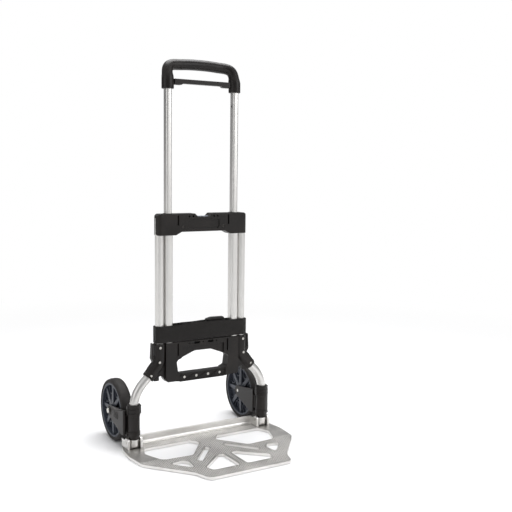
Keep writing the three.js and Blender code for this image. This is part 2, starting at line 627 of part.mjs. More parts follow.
// Upper collar: two grooves round it and a lug on each side; the tube starts to bend inside it.
function upperCollar() {
  const low = FORK_TOP + GAP;
  const height = UPPER_COLLAR_TOP - low;
  const r = COLLAR_RADIUS;
  const bore = FRAME_TUBE_RADIUS - 4.5;
  const body = turned([
    [bore, 0], [r, 0], [r, 9], [r - 1.5, 9], [r - 1.5, 12], [r, 12],
    [r, 20], [r - 1.5, 20], [r - 1.5, 23], [r, 23], [r, height], [bore, height],
  ], 20).translate(0, 0, low);
  const lugs = block(-r - 2.5, r + 2.5, -5, 5, low + 5, UPPER_COLLAR_TOP - 3);
  return cut(join(body, lugs).translate(FOOT_X, 0, 0), frameTubeSpace());
}
placePair('upper_collar', upperCollar(), BLACK_PLASTIC);

// Cast foot plugged into the frame tube: its round end turns between the plate's ears.
const FOOT_HALF_WIDTH = 11.5;
function tubeFoot() {
  const round = TOE_PIN_Z - PLATE_THICKNESS - 1;
  const side = rounded([
    [-FOOT_HALF_WIDTH, FOOT_JOINT_Z - GAP], [-FOOT_HALF_WIDTH, TOE_PIN_Z - round * 0.72, 6],
    [-4, TOE_PIN_Z - round, 6],
    [4, TOE_PIN_Z - round, 6], [FOOT_HALF_WIDTH, TOE_PIN_Z - round * 0.72, 6],
    [FOOT_HALF_WIDTH, FOOT_JOINT_Z - GAP],
  ]);
  const foot = prismX(side, -FOOT_HALF_WIDTH, FOOT_HALF_WIDTH);
  const spigotRadius = FRAME_TUBE_RADIUS - FRAME_TUBE_WALL - GAP;
  const spigot = rodZ(spigotRadius, FOOT_JOINT_Z - 5, FOOT_JOINT_Z + 28, 0, 0, 20);
  const joined = common(join(foot, spigot), rodZ(FRAME_TUBE_RADIUS, 0, BEND_START, 0, 0, 24));
  return cut(joined, rodX(TOE_PIN_RADIUS + GAP, -20, 20, 0, TOE_PIN_Z)).translate(FOOT_X, 0, 0);
}
placePair('tube_foot', tubeFoot(), CAST_ALUMINIUM);

// ---------------------------------------------------------------- toe plate

// The plate's outline and its openings, all drawn with their straight runs moved by an inset.
function offset(corners, inset) {
  return corners.map(([x, y, radius], i) => {
    const here = new THREE.Vector2(x, y);
    const before = here.clone().sub(cornerPoint(corners, i - 1)).normalize();
    const after = cornerPoint(corners, i + 1).sub(here).normalize();
    const turn = before.cross(after);
    const miter = new THREE.Vector2(-before.y - after.y, before.x + after.x).normalize();
    const reach = inset / Math.sqrt((1 + before.dot(after)) / 2);
    const corner = here.add(miter.multiplyScalar(reach));
    return [corner.x, corner.y, Math.max(radius - Math.sign(turn) * inset, 0.5)];
  });
}

const BACK_Y = FLANGE_FRONT + FLANGE_THICKNESS;
const BACK_X = FOOT_X + EAR_INNER + EAR_THICKNESS;    // the plate's rear corners, flush with its ears
const FRONT_Y = -PLATE_REACH;

const PLATE_HALF = [
  [0, FRONT_Y], [125, FRONT_Y, 18], [141, FRONT_Y + 50, 20],
  [FOOT_X + 30, -128, 40], [FOOT_X + 38, -55, 45], [FOOT_X + 32, 0, 16], [BACK_X, BACK_Y, 4],
];
const PLATE_OUTLINE = [
  ...PLATE_HALF.slice(1), ...PLATE_HALF.slice(1).toReversed().map(([x, y, r]) => [-x, y, r]),
];

// Right-hand openings, counter-clockwise: the big side window, the slot, the small and front ones.
const PLATE_OPENINGS = [
  [[26, -46, 10], [88, -129, 14], [FOOT_X - 32, -124, 22],
    [FOOT_X - 8, -60, 20], [FOOT_X - 22, -20, 14], [44, -20, 12]],
  [[20.5, -100, 3], [86, -180.5, 3], [98.5, -170.5, 3], [33, -90, 3]],
  [[126, -214, 5], [174, -160, 7], [134, -153, 7], [121, -171, 7]],
  [[12, FRONT_Y + 45, 6], [90, FRONT_Y + 45, 9], [100, -228, 9], [27, -160, 7], [12, -162, 5]],
];

function toePlate() {
  const flat = (corners, low, high) => prismZ(rounded(corners), low, high);
  const toLeft = (corners) => corners.map(([x, y, r]) => [-x, y, r]).toReversed();
  const openings = PLATE_OPENINGS.flatMap((corners) => [corners, toLeft(corners)]);
  const slab = flat(PLATE_OUTLINE, 0, PLATE_THICKNESS);
  const pocketHeight = PLATE_THICKNESS - PLATE_WEB;
  const pocket = cut(
    flat(offset(PLATE_OUTLINE, PLATE_RIM), -1, pocketHeight),
    ...openings.map((corners) => flat(offset(corners, -PLATE_RIM), -2, pocketHeight + 1)),
    block(-FOOT_X - 60, FOOT_X + 60, -24, BACK_Y + 10, -2, pocketHeight + 1));
  const flange = block(-BACK_X, BACK_X, FLANGE_FRONT, BACK_Y, 0, FLANGE_HEIGHT);
  const bendRadius = 10;
  const fillet = cut(
    block(-BACK_X, BACK_X, FLANGE_FRONT - bendRadius, FLANGE_FRONT + 1, 0, PLATE_THICKNESS + bendRadius),
    rodX(bendRadius, -BACK_X - 1, BACK_X + 1, FLANGE_FRONT - bendRadius, PLATE_THICKNESS + bendRadius, 24));
  const ear = rounded([
    [-EAR_NOSE, 0], [BACK_Y, 0], [BACK_Y, FLANGE_HEIGHT], [12, FLANGE_HEIGHT, 4],
    [4, TOE_PIN_Z + EAR_NOSE - 0.5, 5], [-EAR_NOSE, TOE_PIN_Z + EAR_NOSE - 0.5, 9],
  ]);
  const inner = FOOT_X + EAR_INNER;
  const ears = [inner, FOOT_X - EAR_INNER - EAR_THICKNESS].flatMap((x) => [
    prismX(ear, x, x + EAR_THICKNESS), prismX(ear, -x - EAR_THICKNESS, -x)]);
  const whole = join(slab, flange, fillet, ...ears);
  const pinHole = rodX(TOE_PIN_RADIUS + GAP, -BACK_X - 1, BACK_X + 1, 0, TOE_PIN_Z);
  return cut(whole, pocket, pinHole, ...openings.map((corners) => flat(corners, -1, PLATE_THICKNESS + 1)));
}
place('toe_plate', toePlate(), CAST_ALUMINIUM);

const PIN_HALF = EAR_INNER + EAR_THICKNESS - 1.2;
placePair('toe_pin', rodX(TOE_PIN_RADIUS, FOOT_X - PIN_HALF, FOOT_X + PIN_HALF, 0, TOE_PIN_Z), STEEL);

// ---------------------------------------------------------------- wheel forks

const ARM_INNER = WHEEL_OFFSET - FORK_HALF;   // outer face of the inner arm, from the pivot axis
const ARM_OUTER = WHEEL_OFFSET + FORK_HALF;   // outer face of the outer arm
const WEB_Y = COLLAR_RADIUS + 3.3;            // web between the arms, behind the collars' lugs
const WEB_THICKNESS = TYRE_TO_PIVOT - 1.5 - WEB_Y;
const ROOT_BOTTOM = COLLAR_BOTTOM + 11;
const ROOT_TOP = FORK_TOP + 17;

function wheelFork() {
  const ringHeight = FORK_TOP - FORK_BOTTOM - GAP;
  const ringRadius = COLLAR_RADIUS - 1;
  const ring = turned([
    [SLEEVE_INNER, 0], [ringRadius, 0], [ringRadius, ringHeight], [SLEEVE_INNER, ringHeight],
  ]).translate(0, 0, FORK_BOTTOM + GAP);
  const bridge = block(ARM_INNER + 3, ARM_OUTER - 3, 13.5, WEB_Y + 1, FORK_BOTTOM + 2, FORK_TOP - 2);
  const web = block(ARM_INNER, ARM_OUTER, WEB_Y, WEB_Y + WEB_THICKNESS, ROOT_BOTTOM + 6, ROOT_TOP - 6);
  const tip = 15;
  const armSide = (rootY) => rounded([
    [rootY, ROOT_BOTTOM, 4], [rootY + 17, ROOT_BOTTOM - 2, 6], [AXLE_REACH + 9, WHEEL_RADIUS - tip, 8],
    [AXLE_REACH + tip + 3, WHEEL_RADIUS, 8], [AXLE_REACH + 9, WHEEL_RADIUS + tip, 8], [rootY, ROOT_TOP, 5],
  ]);
  const outerArm = prismX(armSide(9), ARM_OUTER - ARM_THICKNESS, ARM_OUTER);
  const innerArm = prismX(armSide(WEB_Y), ARM_INNER, ARM_INNER + ARM_THICKNESS);
  const rootBar = rodZ(4.5, ROOT_BOTTOM + 2, ROOT_TOP - 2, ARM_OUTER - 3, 10, 16);
  const boss = rodX(13, ARM_OUTER - 1, ARM_OUTER + 1.5, AXLE_REACH, WHEEL_RADIUS, 20);
  const ribs = [-8, -3, 2, 7].map((z) =>
    block(ARM_OUTER - 1, ARM_OUTER + 1, 50, 80, WHEEL_RADIUS + z - 1, WHEEL_RADIUS + z + 1));
  const bore = rodX(AXLE_RADIUS + GAP, ARM_INNER - 1, ARM_OUTER + 3, AXLE_REACH, WHEEL_RADIUS);
  const sleeveSpace = rodZ(SLEEVE_INNER, FORK_BOTTOM - 1, FORK_TOP + 1, 0, 0, 24);
  return cut(join(ring, bridge, web, outerArm, innerArm, rootBar, boss, ...ribs), bore, sleeveSpace);
}
placePair('wheel_fork', wheelFork().translate(FOOT_X, 0, 0), BLACK_PLASTIC);

// Axle bolt, headed on the outside.
const axle = turnedX([
  [0, ARM_INNER + 0.3], [AXLE_RADIUS, ARM_INNER + 0.3], [AXLE_RADIUS, ARM_OUTER + 1.8],
  [8, ARM_OUTER + 1.8], [8, ARM_OUTER + 4.5], [6.5, ARM_OUTER + 5.5], [0, ARM_OUTER + 5.5],
], 20).translate(FOOT_X, AXLE_REACH, WHEEL_RADIUS);
placePair('axle', axle, STEEL);

// ---------------------------------------------------------------- wheels

const WHEEL_X = FOOT_X + WHEEL_OFFSET;
const HALF_WIDTH = TYRE_WIDTH / 2;
const RIM_RADIUS = WHEEL_RADIUS - TYRE_THICKNESS;

const SPOKES = 8;
const RIM_SIDES = 32;
const HUB_BOSS = 16;

function tyre() {
  const r = WHEEL_RADIUS;
  const w = HALF_WIDTH;
  const half = [
    [RIM_RADIUS, w - 1], [RIM_RADIUS + 3, w], [r - 4.5, w - 0.4], [r - 1.2, w - 3.5], [r, w - 9],
  ];
  const profile = [...half.map(([radius, x]) => [radius, -x]), ...half.toReversed()];
  return turnedX(profile, RIM_SIDES);
}

function wheelHub() {
  const outer = RIM_RADIUS - GAP;
  const inner = outer - 6;
  const side = HALF_WIDTH - 2;
  const rim = turnedX([[inner, -side], [outer, -side], [outer, side], [inner, side]], RIM_SIDES);
  const web = rodX(inner + 1, -3, 3, 0, 0, RIM_SIDES);
  const boss = rodX(HUB_BOSS, -HALF_WIDTH + 0.5, HALF_WIDTH - 0.5, 0, 0, 16);
  const spoke = prismX(rounded([[10, -8], [inner + 1, -5], [inner + 1, 5], [10, 8]]), -10, 10);
  const hole = rodX(5.5, -4, 4, 54, 0, 8);
  const step = (2 * Math.PI) / SPOKES;
  const around = (geometry, shift) =>
    Array.from({ length: SPOKES }, (_, i) => geometry.clone().rotateX((i + shift) * step));
  const solid = join(rim, web, boss, ...around(spoke, 0));
  return cut(solid, ...around(hole, 0.5), rodX(BUSH_RADIUS + GAP, -HALF_WIDTH, HALF_WIDTH, 0, 0, 16));
}

const bush = turnedX([
  [AXLE_RADIUS + GAP, -HALF_WIDTH], [BUSH_RADIUS, -HALF_WIDTH],
  [BUSH_RADIUS, HALF_WIDTH], [AXLE_RADIUS + GAP, HALF_WIDTH],
], 16);

for (const [name, geometry, material] of [
  ['tyre', tyre(), TYRE_RUBBER], ['wheel_hub', wheelHub(), HUB_PLASTIC], ['wheel_bush', bush, BAR_GREY],
]) placePair(name, geometry.translate(WHEEL_X, AXLE_REACH, WHEEL_RADIUS), material);

const model = new THREE.Group();
model.add(truck);
export default model;
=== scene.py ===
# %% [markdown]
# # A folding hand truck
# The truck stands unfolded: a telescoping handle, a frame of four aluminium tubes held by two
# plastic brackets, an elastic strap wound round it, two wheels on swinging forks, and a cast
# toe plate. The CAD model gives every place and size. Here each piece gets its visible form:
# rounded edges, true round tubes, spoked wheels, woven webbing and a studded tread.

# %% Load the frame
import math

import bmesh
import bpy
from mathutils import Matrix, Vector
from mathutils.bvhtree import BVHTree
from mathutils.geometry import interpolate_bezier, intersect_point_line


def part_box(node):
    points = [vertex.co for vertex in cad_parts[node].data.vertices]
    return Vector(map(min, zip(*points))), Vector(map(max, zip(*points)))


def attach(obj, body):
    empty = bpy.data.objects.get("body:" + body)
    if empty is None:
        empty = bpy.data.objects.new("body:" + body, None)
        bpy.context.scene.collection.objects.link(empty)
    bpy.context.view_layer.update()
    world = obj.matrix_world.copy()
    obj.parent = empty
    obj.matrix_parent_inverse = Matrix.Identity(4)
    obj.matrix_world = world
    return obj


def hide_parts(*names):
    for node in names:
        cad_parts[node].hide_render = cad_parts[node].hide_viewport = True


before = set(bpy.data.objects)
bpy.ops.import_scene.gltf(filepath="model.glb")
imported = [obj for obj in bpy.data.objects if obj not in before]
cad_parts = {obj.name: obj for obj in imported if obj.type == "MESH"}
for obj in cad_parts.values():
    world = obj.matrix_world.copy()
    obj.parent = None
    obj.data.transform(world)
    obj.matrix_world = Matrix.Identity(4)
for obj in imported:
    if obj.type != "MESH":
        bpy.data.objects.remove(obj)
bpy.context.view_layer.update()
MM = 0.001
SIDES = {"right": 1, "left": -1}

# %% [markdown]
# ## Camera, floor and light
# A product picture is taken with a fairly long lens from a little above the middle of the
# truck, so the tubes stay nearly upright. The camera's turn, tilt and lens are all that is set.

# %% Camera
CAMERA_PLACE = Vector((-1.0494, -1.9783, 0.7906))
CAMERA_TURN = math.radians(31.36)
CAMERA_TILT = math.radians(6.25)
CAMERA_ROLL = math.radians(0.69)
LENS = 56.15

camera_data = bpy.data.cameras.new("camera")
camera_data.lens = LENS
camera_data.sensor_width = 36
camera = bpy.data.objects.new("camera", camera_data)
camera.matrix_world = (
    Matrix.Translation(CAMERA_PLACE)
    @ Matrix.Rotation(-CAMERA_TURN, 4, "Z")
    @ Matrix.Rotation(math.pi / 2 - CAMERA_TILT, 4, "X")
    @ Matrix.Rotation(CAMERA_ROLL, 4, "Z")
)
bpy.context.scene.collection.objects.link(camera)
bpy.context.scene.camera = camera
bpy.context.scene.view_settings.view_transform = "Standard"
print("camera", LENS, "mm lens at", tuple(CAMERA_PLACE))

# %% [markdown]
# Shader maths reads best as sums. `Wire` wraps the output of a node, so that `1 - mask * 0.3`
# adds its own Math nodes. `Finish` is one material and makes every other kind of node.


# %% Shader sums
class Wire:
    """A node's output that can be added, multiplied and subtracted like a number."""

    def __init__(self, finish, socket):
        self.finish = finish
        self.socket = socket

    def maths(self, operation, *values):
        return self.finish.node("Math", {"operation": operation}, dict(enumerate(values)))

    def __add__(self, other):
        return self.maths("ADD", self, other)

    def __sub__(self, other):
        return self.maths("SUBTRACT", self, other)

    def __rsub__(self, other):
        return self.maths("SUBTRACT", other, self)

    def __mul__(self, other):
        return self.maths("MULTIPLY", self, other)

    __radd__ = __add__
    __rmul__ = __mul__

    def sine(self):
        return self.maths("SINE", self)

    def between(self, low, high):
        """0 below low, 1 above high, and a soft step between them."""
        settings = {"interpolation_type": "SMOOTHSTEP"}
        return self.finish.node("MapRange", settings, {0: self, 1: low, 2: high})


class Finish:
    """One material. The name of the record's material slot it is meant for is kept in slot, but
    nothing reads it.
    """

    def __init__(self, name, slot, **shader_values):
        self.slot = slot
        self.material = bpy.data.materials.new(name)
        self.material.use_nodes = True
        self.tree = self.material.node_tree
        self.shader = self.tree.nodes["Principled BSDF"]
        for socket, value in shader_values.items():
            self.shader.inputs[socket.replace("_", " ")].default_value = value

    def node(self, kind, settings, inputs, output=0):
        made = self.tree.nodes.new("ShaderNode" + kind)
        for setting, value in settings.items():
            setattr(made, setting, value)
        for socket, value in inputs.items():
            self.feed(made.inputs[socket], value)
        return Wire(self, made.outputs[output])

    def feed(self, socket, value):
        if isinstance(value, Wire):
            self.tree.links.new(value.socket, socket)
        else:
            socket.default_value = value

    def place(self):
        return self.node("TexCoord", {}, {}, output="Object")

    def stretched(self, x, y, z):
        """The piece's own coordinates, squeezed so that a pattern runs along an axis."""
        return self.node("Mapping", {}, {"Vector": self.place(), "Scale": (x, y, z)})

    def noise(self, scale, detail=2.0, where=None):
        inputs = {"Vector": where or self.place(), "Scale": scale, "Detail": detail}
        return self.node("TexNoise", {}, inputs, output="Fac")

    def attribute(self, name):
        return self.node("Attribute", {"attribute_name": name}, {}, output="Fac")

    def blend(self, factor, first, second):
        inputs = {0: factor, 6: (*first, 1), 7: (*second, 1)}
        return self.node("Mix", {"data_type": "RGBA"}, inputs, output=2)

    def bumps(self, height, distance, strength=1.0, under=None):
        inputs = {"Height": height, "Distance": distance, "Strength": strength}
        if under:
            inputs["Normal"] = under
        return self.node("Bump", {}, inputs)

    def set(self, **values):
        for socket, value in values.items():
            self.feed(self.shader.inputs[socket.replace("_", " ")], value)


print("shader helpers ready")

# %% [markdown]
# The floor is a wide white disc. Far from the truck it fades into the same plain white as
# the world, so that no horizon shows, while close to the truck it takes a soft shadow. What
# the metal mirrors is a studio with dim walls and a bright ceiling.

# %% Floor and world
FLOOR_RADIUS = 9.0
FLOOR_DROP = 0.5 * MM
FLOOR_WHITE = (0.93, 0.93, 0.935, 1)
STUDIO_GREY = (0.80, 0.80, 0.81, 1)
PURE_WHITE = (1, 1, 1, 1)
FADE_START = 0.75
FADE_END = 2.7
WALL_HEIGHT, CEILING_HEIGHT = 0.12, 0.85
WALL_LIGHT, CEILING_LIGHT = 0.26, 0.80

floor_mesh = bmesh.new()
bmesh.ops.create_circle(floor_mesh, cap_ends=True, segments=96, radius=FLOOR_RADIUS)
floor_data = bpy.data.meshes.new("floor")
floor_mesh.to_mesh(floor_data)
floor_mesh.free()
floor = bpy.data.objects.new("floor", floor_data)
floor.location.z = -FLOOR_DROP
bpy.context.scene.collection.objects.link(floor)

floor_finish = Finish("studio_floor", None, Roughness=0.9)
floor_finish.set(Base_Color=FLOOR_WHITE)
reach = floor_finish.node(
    "VectorMath", {"operation": "LENGTH"}, {0: floor_finish.place()}, output="Value")
glow = floor_finish.node("Emission", {}, {"Color": PURE_WHITE, "Strength": 1.0})
fade = reach.between(FADE_START, FADE_END)
faded = floor_finish.node("MixShader", {}, {
    0: fade, 1: Wire(floor_finish, floor_finish.shader.outputs[0]), 2: glow})
floor_finish.feed(floor_finish.tree.nodes["Material Output"].inputs["Surface"], faded)
floor_data.materials.append(floor_finish.material)

world = bpy.data.worlds.new("studio")
world.use_nodes = True
bpy.context.scene.world = world
sky = world.node_tree
background = sky.nodes["Background"]
background.inputs["Color"].default_value = STUDIO_GREY
direction = sky.nodes.new("ShaderNodeTexCoord")
parts = sky.nodes.new("ShaderNodeSeparateXYZ")
dimmer = sky.nodes.new("ShaderNodeMapRange")
for socket, value in enumerate((WALL_HEIGHT, CEILING_HEIGHT, WALL_LIGHT, CEILING_LIGHT), 1):
    dimmer.inputs[socket].default_value = value
sky.links.new(direction.outputs["Generated"], parts.inputs[0])
sky.links.new(parts.outputs["Z"], dimmer.inputs[0])
sky.links.new(dimmer.outputs[0], background.inputs["Strength"])
backdrop = sky.nodes.new("ShaderNodeBackground")
backdrop.inputs["Color"].default_value = PURE_WHITE
seen = sky.nodes.new("ShaderNodeLightPath")
choose = sky.nodes.new("ShaderNodeMixShader")
sky.links.new(seen.outputs["Is Camera Ray"], choose.inputs[0])
sky.links.new(background.outputs[0], choose.inputs[1])
sky.links.new(backdrop.outputs[0], choose.inputs[2])
sky.links.new(choose.outputs[0], sky.nodes["World Output"].inputs["Surface"])
print("white floor of radius", FLOOR_RADIUS, "m")

# %% [markdown]
# Three soft boxes light the truck: a large one at the front right, which the tubes' front
# faces mirror, a weaker one at the left, and one overhead that gives the soft shadow.

# %% Soft boxes
AIM = Vector((0, 0, 0.45))
SOFT_BOXES = {
    "key": (Vector((2.1, -2.6, 1.9)), 2.2, 36),
    "left_fill": (Vector((-2.6, -0.4, 1.3)), 1.6, 9),
    "overhead": (Vector((0.3, 0.5, 3.0)), 2.0, 74),
}
for name, (place, size, power) in SOFT_BOXES.items():
    lamp = bpy.data.lights.new(name, "AREA")
    lamp.size = size
    lamp.energy = power
    soft_box = bpy.data.objects.new(name, lamp)
    soft_box.location = place
    soft_box.rotation_euler = (AIM - place).to_track_quat("-Z", "Y").to_euler()
    bpy.context.scene.collection.objects.link(soft_box)
print(len(SOFT_BOXES), "soft boxes")

# %% [markdown]
# ## Finishes
# Every finish starts from the shader's own values and adds what a hand would feel: a grain in
# the bump, and an uneven shine.

# %% Aluminium tube
# Drawn and anodised tube: very fine lines along it, and an even satin shine.
tube_finish = Finish("tube_aluminium", "tube_aluminium", Metallic=1.0)
lines = tube_finish.noise(1.0, 3.0, tube_finish.stretched(1600, 1600, 14))
smudges = tube_finish.noise(9.0, 3.0)
tube_finish.set(
    Base_Color=tube_finish.blend(smudges, (0.70, 0.69, 0.67), (0.78, 0.77, 0.75)),
    Roughness=0.27 + lines * 0.10 + smudges * 0.08,
    Normal=tube_finish.bumps(lines, 0.00003, 0.6),
)
print(tube_finish.material.name)

# %% Cast aluminium
# The toe plate and the feet are cast and tumbled: a warm light grey, finely pitted, with
# cloudy handling marks and a few scratches. The skin of the plate's flat top is coarser than
# its rim, its underside and its flange, so it is found by its height.
PLATE_TOP = 8 * MM
SKIN_ROOM = 2 * MM
SKIN_EDGE = 1 * MM


def cast(name, coarse):
    finish = Finish(name, "cast_aluminium", Metallic=1.0)
    grain = finish.noise(900, 2.0)
    clouds = finish.noise(14, 4.0)
    streaks = finish.noise(1.0, 3.0, finish.stretched(9, 260, 120))
    scratches = streaks.between(0.60, 0.68)
    dimples = finish.noise(230, 1.0)
    height = finish.node("SeparateXYZ", {}, {0: finish.place()}, "Z")
    skin_top = PLATE_TOP + SKIN_ROOM
    top = height.between(PLATE_TOP - SKIN_EDGE, PLATE_TOP)
    top = top - height.between(skin_top, skin_top + SKIN_EDGE)
    skin = top * coarse
    rough = 0.24 + clouds * 0.14 + grain * 0.08 + scratches * 0.12
    tone = (clouds - skin * (0.1 + dimples * 0.9)).between(-0.5, 0.9)
    finish.set(
        Base_Color=finish.blend(tone, (0.40, 0.39, 0.372), (0.90, 0.885, 0.86)),
        Roughness=rough + skin * 0.06,
        Normal=finish.bumps(grain * 0.1 + skin * dimples + streaks * 0.15, 0.0008, 0.55),
    )
    return finish


cast_finish = cast("cast_aluminium", 0.0)
tread_finish = cast("cast_tread", 1.0)
print(cast_finish.material.name, tread_finish.material.name)


# %% Moulded plastics
def moulded(name, slot, dark, light, roughness, texture, depth):
    """Moulded plastic with a spark-eroded texture, dusted lighter in uneven patches."""
    finish = Finish(name, slot, Specular_IOR_Level=0.3)
    pits = finish.noise(texture, 2.0)
    patches = finish.noise(11, 4.0)
    dust = patches.between(0.35, 0.75)
    finish.set(
        Base_Color=finish.blend(dust, dark, light),
        Roughness=roughness + dust * 0.10 + pits * 0.08,
        Normal=finish.bumps(pits, depth, 0.8),
    )
    return finish


bracket_finish = moulded(
    "bracket_plastic", "black_plastic", dark=(0.0080, 0.0064, 0.0056),
    light=(0.019, 0.0155, 0.0138), roughness=0.33, texture=1300, depth=0.00008)
grip_finish = moulded(
    "grip_plastic", "grip_plastic", dark=(0.0075, 0.0060, 0.0054),
    light=(0.016, 0.0130, 0.0118), roughness=0.28, texture=900, depth=0.00005)
hub_finish = moulded(
    "hub_plastic", "hub_plastic", dark=(0.040, 0.046, 0.060),
    light=(0.070, 0.078, 0.096), roughness=0.32, texture=1000, depth=0.00005)
bar_finish = moulded(
    "bar_plastic", "bar_plastic", dark=(0.20, 0.22, 0.27),
    light=(0.26, 0.28, 0.33), roughness=0.36, texture=1000, depth=0.00004)
print("four moulded plastics")

# %% Tyre rubber
# Solid rubber: almost no shine, a fine grain, and grey scuffing where it has rolled.
tyre_finish = Finish("tyre_rubber", "tyre_rubber", Specular_IOR_Level=0.35)
rubber_grain = tyre_finish.noise(1500, 2.0)
scuffs = tyre_finish.noise(60, 4.0).between(0.45, 0.75)
tyre_finish.set(
    Base_Color=tyre_finish.blend(scuffs, (0.017, 0.015, 0.014), (0.040, 0.036, 0.034)),
    Roughness=0.58 + scuffs * 0.18 + rubber_grain * 0.08,
    Normal=tyre_finish.bumps(rubber_grain, 0.00010, 0.8),
)
print(tyre_finish.material.name)

# %% Plated steel
def plated(name, dark, light):
    """Plated steel: a thin, slightly cloudy coat, bright on zinc and nearly black on oxide."""
    finish = Finish(name, "steel", Metallic=1.0)
    plating = finish.noise(260, 3.0)
    finish.set(
        Base_Color=finish.blend(plating, dark, light),
        Roughness=0.22 + plating * 0.18,
        Normal=finish.bumps(plating, 0.00003, 0.5),
    )
    return finish


steel_finish = plated("zinc_steel", (0.50, 0.49, 0.46), (0.68, 0.66, 0.62))
black_screw_finish = plated("black_steel", (0.05, 0.047, 0.045), (0.09, 0.085, 0.08))
print(steel_finish.material.name, black_screw_finish.material.name)

# %% [markdown]
# Elastic webbing is woven: ribs of rubber-cored thread run along it, and thin cross threads
# hold them, over one and under the next. The pattern has to follow the strap round its bends,
# so it reads two attributes that the strap's mesh carries: how far along, and how far across.

# %% Elastic webbing
RIB_PITCH = 1.9 * MM
THREAD_PITCH = 1.3 * MM
webbing_finish = Finish(
    "elastic_webbing", "webbing", Sheen_Weight=0.12, Sheen_Roughness=0.5, Specular_IOR_Level=0.25)
along = webbing_finish.attribute("along")
across = webbing_finish.attribute("across")
rib_turn = across * (2 * math.pi / RIB_PITCH)
thread_turn = along * (2 * math.pi / THREAD_PITCH)
ribs = rib_turn.sine()
threads = (thread_turn + (rib_turn * 0.5).sine() * math.pi).sine()
weave = ribs * 0.6 + threads * 0.4
fluff = webbing_finish.noise(1800, 3.0)
creases = webbing_finish.noise(55, 2.0)
webbing_finish.set(
    Base_Color=webbing_finish.blend(
        (weave * 0.25 + fluff).between(0.1, 0.9), (0.006, 0.0054, 0.005), (0.024, 0.0215, 0.020)),
    Roughness=0.70 + fluff * 0.2 + creases * 0.08,
    Normal=webbing_finish.bumps(
        weave + fluff * 0.6, 0.00026, 0.9, webbing_finish.bumps(creases, 0.0012, 0.5)),
)
print(webbing_finish.material.name)

# %% [markdown]
# ## Shaping helpers
# Most pieces already have their true shape in the CAD model, but with knife-sharp edges. A copy
# is merged, its flat faces are joined, and its sharp edges are bevelled, because a moulded or
# cast edge is always a little round and catches the light. Flat faces stay flat in the shading
# with a Weighted Normal modifier.

# %% Pieces and edges
SHARP = math.radians(38)
FLAT = math.radians(0.5)
SAME_PLACE = 0.01 * MM


def add_piece(name, shape, body, finish, replaced=()):
    """Makes an object of a bmesh, in place, riding on a body and standing for CAD nodes."""
    bmesh.ops.recalc_face_normals(shape, faces=shape.faces)
    for face in shape.faces:
        face.smooth = True
    for edge in shape.edges:
        edge.smooth = edge.calc_face_angle(0) < SHARP
    mesh = bpy.data.meshes.new(name)
    shape.to_mesh(mesh)
    shape.free()
    mesh.materials.append(finish.material)
    piece = bpy.data.objects.new(name, mesh)
    bpy.context.scene.collection.objects.link(piece)
    keep_flat = piece.modifiers.new("keep_flat", "WEIGHTED_NORMAL")
    keep_flat.keep_sharp = True
    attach(piece, body)
    if replaced:
        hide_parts(*replaced)
    return piece


def cad_copy(node):
    """A clean bmesh of a CAD node: loose triangles merged, and flat faces joined."""
    shape = bmesh.new()
    shape.from_mesh(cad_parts[node].data)
    bmesh.ops.remove_doubles(shape, verts=shape.verts, dist=SAME_PLACE)
    bmesh.ops.dissolve_limit(shape, angle_limit=FLAT, verts=shape.verts, edges=shape.edges)
    return shape


def round_edges(shape, width, segments=2, where=lambda edge: True):
    """Bevels the edges that are sharper than SHARP."""
    sharp = [e for e in shape.edges if e.is_manifold and e.calc_face_angle() > SHARP and where(e)]
    bmesh.ops.bevel(
        shape, geom=sharp, offset=width, offset_type="OFFSET", affect="EDGES",
        segments=segments, profile=0.5, clamp_overlap=False, material=-1)


def rounded_copy(node, body, finish, width, segments=2, where=lambda edge: True):
    """The visible form of a CAD node whose shape is right and whose edges are not."""
    shape = cad_copy(node)
    round_edges(shape, width, segments, where)
    return add_piece(f"{node}_shown", shape, body, finish, [node])


def centre(node):
    low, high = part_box(node)
    return (low + high) / 2


print("shaping helpers ready")

# %% [markdown]
# A tube, a grip or a strap is one outline carried along a path. `sweep` starts from a ring of
# vertices at the first station of the path and extrudes it to each of the others, turning and
# scaling it as the station says.


# %% Sweeping along a path
def station(point, direction, beside, scale=1.0):
    """A place on a path: where an outline's centre goes, which way it faces, and its size."""
    forward = direction.normalized()
    first = beside.cross(forward).normalized()
    second = forward.cross(first)
    turn = Matrix((first, second, forward)).transposed().to_4x4()
    return Matrix.Translation(point) @ turn @ Matrix.Diagonal((scale, scale, 1, 1))


def stations_along(points, beside, scales=None):
    """Stations at the points of a path, each facing from the point before to the one after."""
    found = []
    for i, point in enumerate(points):
        ahead = points[min(i + 1, len(points) - 1)] - points[max(i - 1, 0)]
        found.append(station(point, ahead, beside, scales[i] if scales else 1.0))
    return found


def once(items):
    """The items in their order, each of them once."""
    return list(dict.fromkeys(items))


def sweep(shape, ring, stations):
    """Carries a closed ring of vertices, drawn round the origin, along the stations."""
    edges = once(e for v in ring for e in v.link_edges)
    bmesh.ops.transform(shape, matrix=stations[0], verts=ring)
    rings = [ring]
    for before, after in zip(stations, stations[1:]):
        grown = bmesh.ops.extrude_edge_only(shape, edges=edges)["geom"]
        edges = [g for g in grown if isinstance(g, bmesh.types.BMEdge) and g.is_boundary]
        ring = once(v for e in edges for v in e.verts)
        bmesh.ops.transform(shape, matrix=after @ before.inverted(), verts=ring)
        rings.append(ring)
    return rings


def cap(shape):
    """Closes every open end with one face."""
    open_edges = [e for e in shape.edges if e.is_boundary]
    bmesh.ops.holes_fill(shape, edges=open_edges, sides=0)


print("sweep ready")

# %% [markdown]
# ## Frame tubes
# Each frame tube rises from its foot, leans inwards at 45 degrees and then stands upright
# beside the guide tube. On the real truck it is a straight tube bent round two formers, so here
# a ring of vertices is carried straight up, round one bend, and back round the other.

